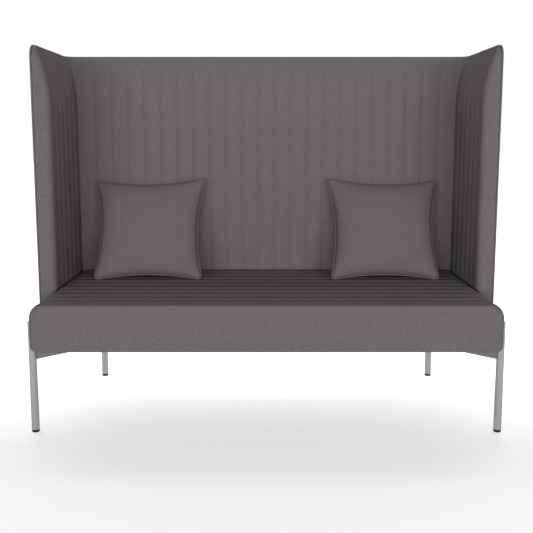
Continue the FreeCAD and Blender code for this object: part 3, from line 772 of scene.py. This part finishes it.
def outer_wing_patches(side, sizes):
    """Padded outer panel of one wing, round to the middle of the rear corner."""
    radius = sizes.rear_corner_radius
    inset = sizes.piping_seat + sizes.outer_edge_radius
    bend = corner_bend(lambda angle: np.full_like(angle, inset), sizes)
    corner = BACK_FACE - radius
    samples = np.concatenate([np.linspace(WING_FRONT + inset, corner, 24),
                              np.linspace(corner, corner + radius * math.pi / 4, 8)])
    heights = np.linspace(SHELL_BOTTOM, SHELL_TOP - inset, 36)
    mid_y = (WING_FRONT + BACK_FACE) / 2
    mid_z = (SHELL_BOTTOM + SHELL_TOP) / 2

    def relief(y, z):
        across = 1 - np.clip(np.abs(y - mid_y) / (BACK_FACE - mid_y), 0, 1) ** 2
        up = 1 - np.clip(np.abs(z - mid_z) / (SHELL_TOP - mid_z), 0, 1) ** 2
        return -sizes.crown * across * up

    def place(y, z, depth):
        turn = np.clip((y - corner) / radius, 0, math.pi / 4)
        reach = radius - depth
        x = HALF_WIDTH - radius + reach * np.cos(turn)
        return np.stack([side * x, np.minimum(y, corner) + reach * np.sin(turn), z], axis=1)

    def profile(depth, inset, angle):
        return [np.broadcast_arrays(gone, distance, angle)[:2] for gone, distance in outer_profile(sizes)]

    face, edge, _ = wing_panel(samples, heights, bend, relief, profile, place)
    return [np.array(face), np.array([place(*row) for row in edge])]


def outer_back_patches(sizes):
    """Padded outer panel of the back, from the middle of one rear corner to the other."""
    radius = sizes.rear_corner_radius
    half = HALF_WIDTH - radius
    sweep = radius * math.pi / 4
    path = np.concatenate([np.linspace(-half - sweep, -half, 8)[:-1], np.linspace(-half, half, 60),
                           np.linspace(half, half + sweep, 8)[1:]])
    turn = np.clip(np.abs(path) - half, 0, sweep) / radius
    inset = sizes.piping_seat + sizes.outer_edge_radius
    across = 1 - np.clip(np.abs(path) / half, 0, 1) ** 2
    rows = []
    for z in np.linspace(SHELL_BOTTOM, SHELL_TOP - inset, 36):
        up = 1 - abs(2 * (z - SHELL_BOTTOM) / (SHELL_TOP - inset - SHELL_BOTTOM) - 1) ** 2
        rows.append((-sizes.crown * across * up, z))
    rows += [(np.full_like(path, depth), SHELL_TOP - gone) for depth, gone in outer_profile(sizes)[1:]]
    grid = []
    for depth, z in rows:
        reach = radius - depth
        x = np.sign(path) * (np.minimum(np.abs(path), half) + reach * np.sin(turn))
        grid.append(np.stack([x, BACK_FACE - radius + reach * np.cos(turn), np.full_like(path, z)], axis=1))
    return [np.array(grid)]


class SOFA_OT_back(bpy.types.Operator):
    """Quilted inside of the back with its padded top edge"""

    bl_idname = "sofa.back"
    bl_label = "Back"

    def execute(self, context):
        sizes = context.scene.sofa_sizes
        upholster("back_upholstery", back_patches(sizes), ("back_quilt", "back_top_border"), sizes)
        return {"FINISHED"}


class SOFA_OT_wings(bpy.types.Operator):
    """Quilted insides of the two wings with their padded edges"""

    bl_idname = "sofa.wings"
    bl_label = "Wings"

    def execute(self, context):
        sizes = context.scene.sofa_sizes
        for name, side in SIDES:
            nodes = (name + "_wing_quilt", name + "_wing_border")
            upholster(name + "_wing_upholstery", wing_patches(side, sizes), nodes, sizes)
        return {"FINISHED"}


class SOFA_OT_outside(bpy.types.Operator):
    """Smooth padded covers on the outside of the wings and the back"""

    bl_idname = "sofa.outside"
    bl_label = "Outside covers"

    def execute(self, context):
        sizes = context.scene.sofa_sizes
        panels = {name + "_wing": outer_wing_patches(side, sizes) for name, side in SIDES}
        panels["back"] = outer_back_patches(sizes)
        for name, patches in panels.items():
            nodes = (name + "_outer_cover", name + "_outer_padding")
            upholster(name + "_outside", patches, nodes, sizes)
        return {"FINISHED"}


# Piping and stitches along paths

def start_tree(name, sizes):
    """Geometry tree with inputs for sizes and a material, or None for the inputs if it is already made."""
    known = bpy.data.node_groups.get(name)
    if known:
        return known, None
    tree = bpy.data.node_groups.new(name, "GeometryNodeTree")
    tree.interface.new_socket("Geometry", in_out="INPUT", socket_type="NodeSocketGeometry")
    for size in sizes:
        tree.interface.new_socket(size, in_out="INPUT", socket_type="NodeSocketFloat")
    tree.interface.new_socket("Material", in_out="INPUT", socket_type="NodeSocketMaterial")
    tree.interface.new_socket("Geometry", in_out="OUTPUT", socket_type="NodeSocketGeometry")
    return tree, add(tree, "NodeGroupInput", {}).outputs


def end_tree(tree, geometry, material):
    """Closes a tree with real geometry that carries its material."""
    real = add(tree, "GeometryNodeRealizeInstances", {"Geometry": geometry})
    painted = add(tree, "GeometryNodeSetMaterial", {
        "Geometry": real.outputs["Geometry"], "Material": material})
    add(tree, "NodeGroupOutput", {"Geometry": painted.outputs["Geometry"]})
    return tree


def piping_tree():
    """Round cord along a path."""
    tree, given = start_tree("Piping along a path", ("Diameter",))
    if given is None:
        return tree
    curve = add(tree, "GeometryNodeMeshToCurve", {"Mesh": given["Geometry"]})
    radius = add(tree, "ShaderNodeMath", {0: given["Diameter"], 1: 0.5}, operation="MULTIPLY")
    section = add(tree, "GeometryNodeCurvePrimitiveCircle", {"Resolution": 10, "Radius": radius.outputs[0]})
    cord = add(tree, "GeometryNodeCurveToMesh", {
        "Curve": curve.outputs["Curve"], "Profile Curve": section.outputs["Curve"], "Fill Caps": True})
    smooth = add(tree, "GeometryNodeSetShadeSmooth", {"Geometry": cord.outputs["Mesh"]})
    return end_tree(tree, smooth.outputs["Geometry"], given["Material"])


def stitch_tree():
    """Row of stitches along a path, each a short rounded length of thread."""
    tree, given = start_tree("Stitches along a path", ("Pitch", "Thread"))
    if given is None:
        return tree
    curve = add(tree, "GeometryNodeMeshToCurve", {"Mesh": given["Geometry"]}).outputs["Curve"]
    points = add(tree, "GeometryNodeCurveToPoints", {"Curve": curve, "Length": given["Pitch"]}, mode="LENGTH")
    half_length = add(tree, "ShaderNodeMath", {0: given["Pitch"], 1: 0.4}, operation="MULTIPLY").outputs[0]
    half_thread = add(tree, "ShaderNodeMath", {0: given["Thread"], 1: 0.5}, operation="MULTIPLY").outputs[0]
    shape = add(tree, "ShaderNodeCombineXYZ", {"X": half_thread, "Y": half_thread, "Z": half_length})
    ball = add(tree, "GeometryNodeMeshUVSphere", {"Segments": 6, "Rings": 4, "Radius": 1.0})
    rows = add(tree, "GeometryNodeInstanceOnPoints", {
        "Points": points.outputs["Points"], "Instance": ball.outputs["Mesh"],
        "Rotation": points.outputs["Rotation"], "Scale": shape.outputs["Vector"]})
    return end_tree(tree, rows.outputs["Instances"], given["Material"])


def follow(name, lines, tree, values, closed=False):
    """Runs a tree along lines of points and returns the result as a plain mesh."""
    vertices = []
    edges = []
    for points in lines:
        first = len(vertices)
        vertices.extend(tuple(point) for point in points)
        edges.extend((first + step, first + step + 1) for step in range(len(points) - 1))
        if closed:
            edges.append((len(vertices) - 1, first))
    wire = bpy.data.meshes.new(name + "_guide")
    wire.from_pydata(vertices, edges, [])
    guide = linked(name + "_guide", wire)
    modifier = guide.modifiers.new(name, "NODES")
    modifier.node_group = tree
    for item in tree.interface.items_tree:
        if item.in_out == "INPUT" and item.name in values:
            modifier[item.identifier] = values[item.name]
    mesh = bpy.data.meshes.new_from_object(guide.evaluated_get(bpy.context.evaluated_depsgraph_get()))
    mesh.name = name
    bpy.data.objects.remove(guide)
    return mesh


def edge_route(sizes):
    """Middle of the piping from the foot of the left wing, over the top, to that of the right one."""
    inset = sizes.piping_seat / 2
    corner = sizes.wing_corner_radius
    turn = quarter(16)
    reach = corner - inset
    x = BORDER_OUTER + sizes.piping_reach
    rise = [(x, WING_FRONT + inset, z) for z in np.linspace(SHELL_BOTTOM, SHELL_TOP - corner, 20)]
    rise += [(x, WING_FRONT + corner - reach * math.cos(a), SHELL_TOP - corner + reach * math.sin(a))
             for a in turn[1:]]
    bend = sizes.rear_corner_radius - COVER + sizes.piping_reach
    centre_x = HALF_WIDTH - sizes.rear_corner_radius
    centre_y = BACK_FACE - sizes.rear_corner_radius
    top = SHELL_TOP - inset
    rise += [(x, y, top) for y in np.linspace(WING_FRONT + corner, centre_y, 10)[1:-1]]
    rise += [(centre_x + bend * math.cos(a), centre_y + bend * math.sin(a), top) for a in turn]
    mirrored = [(-x, y, z) for x, y, z in rise]
    return mirrored + rise[::-1]


class SOFA_OT_piping(bpy.types.Operator):
    """Piping in the seam round the edge of the shell"""

    bl_idname = "sofa.piping"
    bl_label = "Piping"

    def execute(self, context):
        sizes = context.scene.sofa_sizes
        values = {"Diameter": sizes.piping_diameter, "Material": wool_cloth()}
        add_cloth(follow("shell_piping", [edge_route(sizes)], piping_tree(), values), ("edge_piping",))
        return {"FINISHED"}


class SOFA_OT_stitches(bpy.types.Operator):
    """Rows of stitches in the seams of the channels"""

    bl_idname = "sofa.stitches"
    bl_label = "Stitches"

    def execute(self, context):
        sizes = context.scene.sofa_sizes
        lift = 0.25 * MM
        seat_seam = SEAT_TOP - sizes.seat_rise + lift
        reach = SEAT_HALF - sizes.seat_top_radius
        last_stitch = SHELL_TOP - 0.8 * sizes.channel_fade
        z = np.linspace(RIB_FOOT, last_stitch, 40)
        depth = crest(SHELL_TOP - z, sizes) + seam_depth(z, sizes) - lift
        upright = list(zip(depth, z))
        rows = {
            "seat_stitches": [[(-reach, y, seat_seam), (reach, y, seat_seam)] for y in seat_seams(sizes)],
            "back_stitches": [[(x, BACK_INNER + gone, height) for gone, height in upright]
                              for x in back_seams(sizes)],
            "wing_stitches": [[(side * (INNER_HALF + gone), y, height) for gone, height in upright]
                              for y in wing_seams(sizes) for _, side in SIDES],
        }
        values = {"Pitch": sizes.stitch_pitch, "Thread": sizes.thread, "Material": wool_cloth()}
        for name, lines in rows.items():
            add_cloth(follow(name, lines, stitch_tree(), values))
        return {"FINISHED"}


# Loose cushions

HALF_FILLED = 0.42


def cushion_start(sizes, count):
    """Two square panels sewn edge to edge, already half filled: points, faces and the seam's points."""
    even = np.linspace(-1, 1, count + 1)
    share = 0.5 * even + 0.5 * np.sin(even * math.pi / 2)
    half = sizes.width / 2
    near_corner = np.clip((np.abs(share) - 1) * half / sizes.corner_radius + 1, 0, 1)
    clipped = (1 - math.sqrt(0.5)) * sizes.corner_radius
    squareness = 2.2
    plumpness = 0.42
    crown = 1 - np.abs(share) ** squareness
    u, v = np.meshgrid(share, share)
    turn_u, turn_v = np.meshgrid(near_corner, near_corner)
    sag = sizes.draw_in * np.where(v > 0, 1, sizes.foot_share)
    pull_x = sizes.draw_in * u * u * (1 - v * v) + clipped * turn_u * turn_v ** 2
    pull_y = sag * v * v * (1 - u * u) + clipped * turn_v * turn_u ** 2
    z = HALF_FILLED * sizes.thickness * np.outer(crown, crown) ** plumpness
    grid = np.stack([half * u - np.copysign(pull_x, u), half * v - np.copysign(pull_y, v), z], axis=2)
    inside = grid[1:-1, 1:-1].reshape(-1, 3) * (1, 1, -1)
    front = np.arange(u.size).reshape(u.shape)
    rear = front.copy()
    rear[1:-1, 1:-1] = u.size + np.arange(len(inside)).reshape(count - 1, count - 1)
    faces = []
    for layer, way in ((front, 1), (rear, -1)):
        corners = [layer[:-1, :-1], layer[:-1, 1:], layer[1:, 1:], layer[1:, :-1]]
        faces += np.stack(corners, axis=2).reshape(-1, 4)[:, ::way].tolist()
    rim = np.concatenate([front[0, :-1], front[:-1, -1], front[-1, :0:-1], front[:0:-1, 0]])
    return np.vstack([grid.reshape(-1, 3), inside]), faces, rim.tolist()


def filled(points, faces, rim, sizes):
    """Lets the filling press the cloth out until the cushion is tight. The piped seam keeps its
    shape."""
    mesh = bpy.data.meshes.new("cushion_cloth")
    mesh.from_pydata(points, [], faces)
    cloth = linked("cushion_cloth", mesh)
    scene = bpy.context.scene
    cloth.vertex_groups.new(name="seam").add(rim, 1.0, "REPLACE")
    settings = cloth.modifiers.new("Cloth", "CLOTH").settings
    settings.vertex_group_mass = "seam"
    settings.quality = 8
    settings.mass = 0.2
    settings.tension_stiffness = 25
    settings.compression_stiffness = 25
    settings.shear_stiffness = 8
    settings.bending_stiffness = 0.3
    settings.use_pressure = True
    settings.uniform_pressure_force = sizes.pressure
    settings.effector_weights.gravity = 0
    last_step = 20
    for step in range(1, last_step + 1):
        scene.frame_set(step)
    shape = cloth.evaluated_get(bpy.context.evaluated_depsgraph_get()).data
    moved = np.array([vertex.co for vertex in shape.vertices]) - points
    scene.frame_set(1)
    bpy.data.objects.remove(cloth)
    distance = np.linalg.norm(moved, axis=1, keepdims=True)
    return points + moved * np.minimum(1, sizes.swell_limit / np.maximum(distance, 1e-9))


def settled(shape, node, side, sizes):
    """Leans a filled cushion on the back and sets it on the seat."""
    size = shape.max(0) - shape.min(0)
    fitted = shape * (sizes.width / size[0], sizes.height / size[1], sizes.thickness / size[2])
    fitted[:, 0] *= 1 - sizes.taper * (0.5 - fitted[:, 1] / sizes.height)
    fitted[:, 1] *= 1 - sizes.skew * fitted[:, 0] / sizes.width
    turn = Matrix.Rotation(math.pi / 2 - sizes.lean, 3, "X") @ Matrix.Rotation(-sizes.roll, 3, "Z")
    placed = fitted @ np.array(turn).T
    placed[:, 0] *= side
    lowest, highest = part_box(node)
    middle = (placed.max(0) + placed.min(0)) / 2
    placed[:, 0] += (lowest.x + highest.x) / 2 - middle[0]
    placed[:, 1] += highest.y - placed[:, 1].max()
    placed[:, 2] += lowest.z - placed[:, 2].min()
    return placed


def cushion_mesh(name, placed, faces, rim):
    """Mesh of a filled cushion with a crease along its seam."""
    sharpness = 0.7
    work = bmesh.new()
    corners = [work.verts.new(point) for point in placed]
    for face in faces:
        work.faces.new([corners[index] for index in face])
    bmesh.ops.recalc_face_normals(work, faces=work.faces)
    crease = work.edges.layers.float.new("crease_edge")
    for first, second in zip(rim, rim[1:] + rim[:1]):
        work.edges.get((corners[first], corners[second]))[crease] = sharpness
    return finished(work, name)


class SOFA_OT_cushions(bpy.types.Operator):
    """Two loose cushions, filled by simulation, with piping round their edges"""

    bl_idname = "sofa.cushions"
    bl_label = "Cushions"

    def execute(self, context):
        sizes = context.scene.cushion_sizes
        welt_reach = 0.45
        points, faces, rim = cushion_start(sizes, count=40)
        shape = filled(points, faces, rim, sizes)
        for name, side in SIDES:
            body = name + "_cushion"
            placed = settled(shape, body + "_cover", side, sizes)
            mesh = cushion_mesh(body + "_pad", placed, faces, rim)
            pad = add_cloth(mesh, (body + "_cover", body + "_insert"), body)
            rounding = pad.modifiers.new("Rounding", "SUBSURF")
            rounding.levels = 1
            rounding.render_levels = 1
            outwards = placed[rim] - placed[rim].mean(0)
            outwards /= np.linalg.norm(outwards, axis=1, keepdims=True)
            route = placed[rim] + outwards * sizes.welt * welt_reach
            values = {"Diameter": sizes.welt, "Material": wool_cloth()}
            add_cloth(follow(body + "_piping", [route], piping_tree(), values, closed=True), (), body)
        return {"FINISHED"}


# Legs and underside

def turned(name, profile, centre):
    """Closed round mesh from a profile of (radius, height) about an upright line."""
    turns = np.linspace(0, 2 * math.pi, 49)
    rows = [[(centre.x + radius * math.cos(turn), centre.y + radius * math.sin(turn), height)
             for turn in turns] for radius, height in profile]
    return sewn_mesh(name, [rows])


def rounded_rim(radius, height, rim, way):
    """Points of a rounded rim that turns in towards the middle, upwards or downwards."""
    return [(radius - rim + rim * math.cos(turn), height + way * (rim * math.sin(turn) - rim))
            for turn in quarter(5)]


def softened(node, name, width):
    """Copy of a solid of the frame with its edges rounded off."""
    flat = math.radians(2)
    sharp = 40
    work = solid_copy(node)
    bmesh.ops.dissolve_limit(work, angle_limit=flat, verts=work.verts, edges=work.edges)
    edges = [edge for edge in work.edges
             if edge.is_manifold and edge.calc_face_angle() > math.radians(sharp)]
    bmesh.ops.bevel(work, geom=edges, offset=width, segments=2, affect="EDGES", profile=0.5,
                    clamp_overlap=True)
    return finished(work, name, sharp)


class SOFA_OT_legs(bpy.types.Operator):
    """Tube legs with their glides and brackets"""

    bl_idname = "sofa.legs"
    bl_label = "Legs"

    def execute(self, context):
        sizes = context.scene.leg_sizes
        for place in ("front_left", "front_right", "rear_left", "rear_right"):
            lowest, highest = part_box(place + "_leg")
            centre = (lowest + highest) / 2
            radius = (highest.x - lowest.x) / 2
            nodes = [place + "_leg"]
            top = highest.z
            if place.startswith("front"):
                nodes.append(place + "_leg_cap")
                top = high(place + "_leg_cap").z
            foot = rounded_rim(radius, lowest.z, 0.5 * sizes.rim, -1)[::-1]
            rim = rounded_rim(radius, top, sizes.rim, 1)
            profile = [(0, lowest.z), *foot, *rim, (0, top)]
            add_piece(turned(place + "_tube", profile, centre), satin_steel(), nodes)
            under = rounded_rim(radius, 0, sizes.glide_rim, -1)[::-1]
            profile = [(0, 0), *under, (radius, lowest.z), (0, lowest.z)]
            add_piece(turned(place + "_foot", profile, centre), black_plastic(),
                      (place + "_glide",))
            mesh = softened(place + "_bracket", place + "_plate", sizes.plate_edge)
            add_piece(mesh, grey_paint_and_shade(), (place + "_bracket",))
        return {"FINISHED"}


class SOFA_OT_underside(bpy.types.Operator):
    """Dust cover under the seat, hanging a little between its tacks"""

    bl_idname = "sofa.underside"
    bl_label = "Underside"

    def execute(self, context):
        sag = context.scene.leg_sizes.sag
        longest = 90 * MM
        work = solid_copy("seat_dust_cover")
        for _ in range(4):
            long_edges = [edge for edge in work.edges if edge.calc_length() > longest]
            bmesh.ops.subdivide_edges(work, edges=long_edges, cuts=1, use_grid_fill=True)
            bmesh.ops.triangulate(work, faces=work.faces)
        lowest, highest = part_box("seat_dust_cover")
        hanging = highest.x * 0.75
        for vertex in work.verts:
            across = 1 - min(abs(vertex.co.x) / hanging, 1) ** 2
            along = 1 - min(abs(2 * (vertex.co.y - lowest.y) / (highest.y - lowest.y) - 1), 1) ** 2
            vertex.co.z -= sag * across * along
        mesh = finished(work, "dust_cover_cloth", sharp=40)
        piece = add_piece(mesh, dust_cloth(), ("seat_dust_cover",))
        return {"FINISHED"}


class SOFA_OT_frame(bpy.types.Operator):
    """Finishes of the wooden frame, its webbing and its bolts"""

    bl_idname = "sofa.frame"
    bl_label = "Frame"

    def execute(self, context):
        finishes = {"frame_wood": birch_ply, "strap": elastic_webbing, "bolt_metal": zinc_plate,
                    "cloth_grey": wool_cloth, "padding": wool_cloth, "cloth_under": dust_cloth,
                    "leg_metal": satin_steel, "bracket_metal": grey_paint_and_shade, "glide_plastic": black_plastic}
        slots = {part["node"]: part["material_slot"] for part in frame["record"]["subparts"]}
        for name, node in frame["nodes"].items():
            node.data.materials.clear()
            node.data.materials.append(finishes[slots[name]]())
        return {"FINISHED"}


# Stage

CAMERA_PLACE = (0.0, -2.744, 0.984)
CAMERA_PITCH = math.radians(8.0)
CAMERA_LENS = 51.9
PHOTO_SIZE = 533
PRINCIPAL_ROW = 243.0
FLOOR_REACH = 26.0
# The floor's glow rises from GLOW_NEAR before the sofa to GLOW_FAR behind it. The weaker glow in front is
# painted shade on the floor.
FADE_START = -0.5
FADE_END = 0.45
GLOW_NEAR = 0.465
GLOW_FAR = 1.0
AMBIENT = 0.32


def seen_directly(tree):
    """1 for rays that show the surface itself: from the camera, in gloss or through glass."""
    rays = add(tree, "ShaderNodeLightPath", {}).outputs
    gloss = add(tree, "ShaderNodeMath", {0: rays["Is Camera Ray"], 1: rays["Is Glossy Ray"]},
                operation="MAXIMUM")
    every = add(tree, "ShaderNodeMath", {0: gloss.outputs[0], 1: rays["Is Transmission Ray"]},
                operation="MAXIMUM")
    return every.outputs[0]


def studio_floor():
    """Pale floor that fades to white behind the sofa and keeps a soft shadow before it. The rear lamp casts
    part of that shadow. The rest is painted shade: the floor's glow is weaker before the sofa.
    """
    material, tree = start_material("Studio floor, painted")
    rgb = bpy.context.scene.sofa_colours.floor
    surface = add(tree, "ShaderNodeBsdfDiffuse", {"Color": opaque(rgb)})
    place = add(tree, "ShaderNodeTexCoord", {}).outputs["Object"]
    depth = add(tree, "ShaderNodeSeparateXYZ", {"Vector": place}).outputs["Y"]
    camera = add(tree, "ShaderNodeLightPath", {}).outputs["Is Camera Ray"]
    shown = add(tree, "ShaderNodeMix", {"Factor": camera, "A": FADE_START, "B": depth})
    # Weaker glow before the sofa: painted shade on the floor in front of it.
    glow = add(tree, "ShaderNodeMapRange", {
        "Value": shown.outputs["Result"], "From Min": FADE_START, "From Max": FADE_END, "To Min": GLOW_NEAR,
        "To Max": GLOW_FAR}, interpolation_type="SMOOTHSTEP")
    strength = add(tree, "ShaderNodeMath", {0: seen_directly(tree), 1: glow.outputs["Result"]},
                   operation="MULTIPLY")
    shine = add(tree, "ShaderNodeEmission", {"Color": (1, 1, 1, 1), "Strength": strength.outputs[0]})
    total = add(tree, "ShaderNodeAddShader", {0: surface.outputs["BSDF"], 1: shine.outputs["Emission"]})
    add(tree, "ShaderNodeOutputMaterial", {"Surface": total.outputs["Shader"]})
    return material


def studio_world():
    """White surroundings that light the sofa softly."""
    world = bpy.data.worlds.new("studio")
    world.use_nodes = True
    tree = world.node_tree
    tree.nodes.clear()
    shown = seen_directly(tree)
    strength = add(tree, "ShaderNodeMapRange", {"Value": shown, "To Min": AMBIENT, "To Max": 1.0})
    sky = add(tree, "ShaderNodeBackground", {"Color": (1, 1, 1, 1), "Strength": strength.outputs["Result"]})
    add(tree, "ShaderNodeOutputWorld", {"Surface": sky.outputs["Background"]})
    return world


def softbox(name, place, target, width, height, power):
    """Large soft lamp turned to a target."""
    lamp = bpy.data.lights.new(name, "AREA")
    lamp.shape = "RECTANGLE"
    lamp.size = width
    lamp.size_y = height
    lamp.energy = power
    made = linked(name, lamp)
    made.location = place
    made.rotation_euler = (Vector(target) - Vector(place)).to_track_quat("-Z", "Y").to_euler()
    made.visible_glossy = False


class SOFA_OT_stage(bpy.types.Operator):
    """Pale floor, soft studio light and the camera"""

    bl_idname = "sofa.stage"
    bl_label = "Stage"

    def execute(self, context):
        scene = context.scene
        mesh = bpy.data.meshes.new("studio_floor")
        corners = [(x * FLOOR_REACH, y * FLOOR_REACH, 0) for x, y in ((-1, -1), (1, -1), (1, 1), (-1, 1))]
        mesh.from_pydata(corners, [], [(0, 1, 2, 3)])
        floor = linked("studio_floor", mesh)
        mesh.materials.append(studio_floor())
        softbox("front_softbox", (0, -28.0, 2.7), target=(0, 0, 0.7), width=36.0, height=3.4, power=6660)
        softbox("rear_softbox", (0, 2.6, 3.8), target=(0, -0.5, 0), width=11.0, height=2.2, power=122)
        scene.world = studio_world()
        camera = bpy.data.cameras.new("photo_camera")
        camera.sensor_width = 36.0
        camera.lens = CAMERA_LENS
        camera.shift_y = (PRINCIPAL_ROW - PHOTO_SIZE / 2) / PHOTO_SIZE
        viewer = linked("photo_camera", camera)
        viewer.location = CAMERA_PLACE
        viewer.rotation_euler = (math.pi / 2 - CAMERA_PITCH, 0, 0)
        scene.camera = viewer
        scene.view_settings.view_transform = "Standard"
        return {"FINISHED"}


# Panel and registration

OPERATORS = (SOFA_OT_frame, SOFA_OT_seat, SOFA_OT_back, SOFA_OT_wings, SOFA_OT_outside, SOFA_OT_piping,
             SOFA_OT_stitches, SOFA_OT_cushions, SOFA_OT_legs, SOFA_OT_underside, SOFA_OT_stage)
GROUPS = {"sofa_sizes": SofaSizes, "cushion_sizes": CushionSizes, "leg_sizes": LegSizes,
          "sofa_colours": SofaColours}


class SOFA_PT_panel(bpy.types.Panel):
    """Pieces of the sofa and their sizes"""

    bl_idname = "SOFA_PT_panel"
    bl_label = "High-back Sofa"
    bl_space_type = "VIEW_3D"
    bl_region_type = "UI"
    bl_category = "Sofa"

    def draw(self, context):
        for operator in OPERATORS:
            self.layout.operator(operator.bl_idname)
        for group in GROUPS:
            settings = getattr(context.scene, group)
            column = self.layout.column(heading=settings.rna_type.name)
            for name in settings.__annotations__:
                column.prop(settings, name)


CLASSES = (*GROUPS.values(), *OPERATORS, SOFA_PT_panel)


def register():
    """Makes the pieces' operators, their sizes and the panel known."""
    for item in CLASSES:
        bpy.utils.register_class(item)
    for name, group in GROUPS.items():
        setattr(bpy.types.Scene, name, PointerProperty(type=group))


def unregister():
    """Takes them away again."""
    for name in GROUPS:
        delattr(bpy.types.Scene, name)
    for item in reversed(CLASSES):
        bpy.utils.unregister_class(item)


def main():
    """Builds all the pieces and the stage."""
    register()
    for operator in OPERATORS:
        family, name = operator.bl_idname.split(".")
        getattr(getattr(bpy.ops, family), name)()


if __name__ == "__main__":
    main()
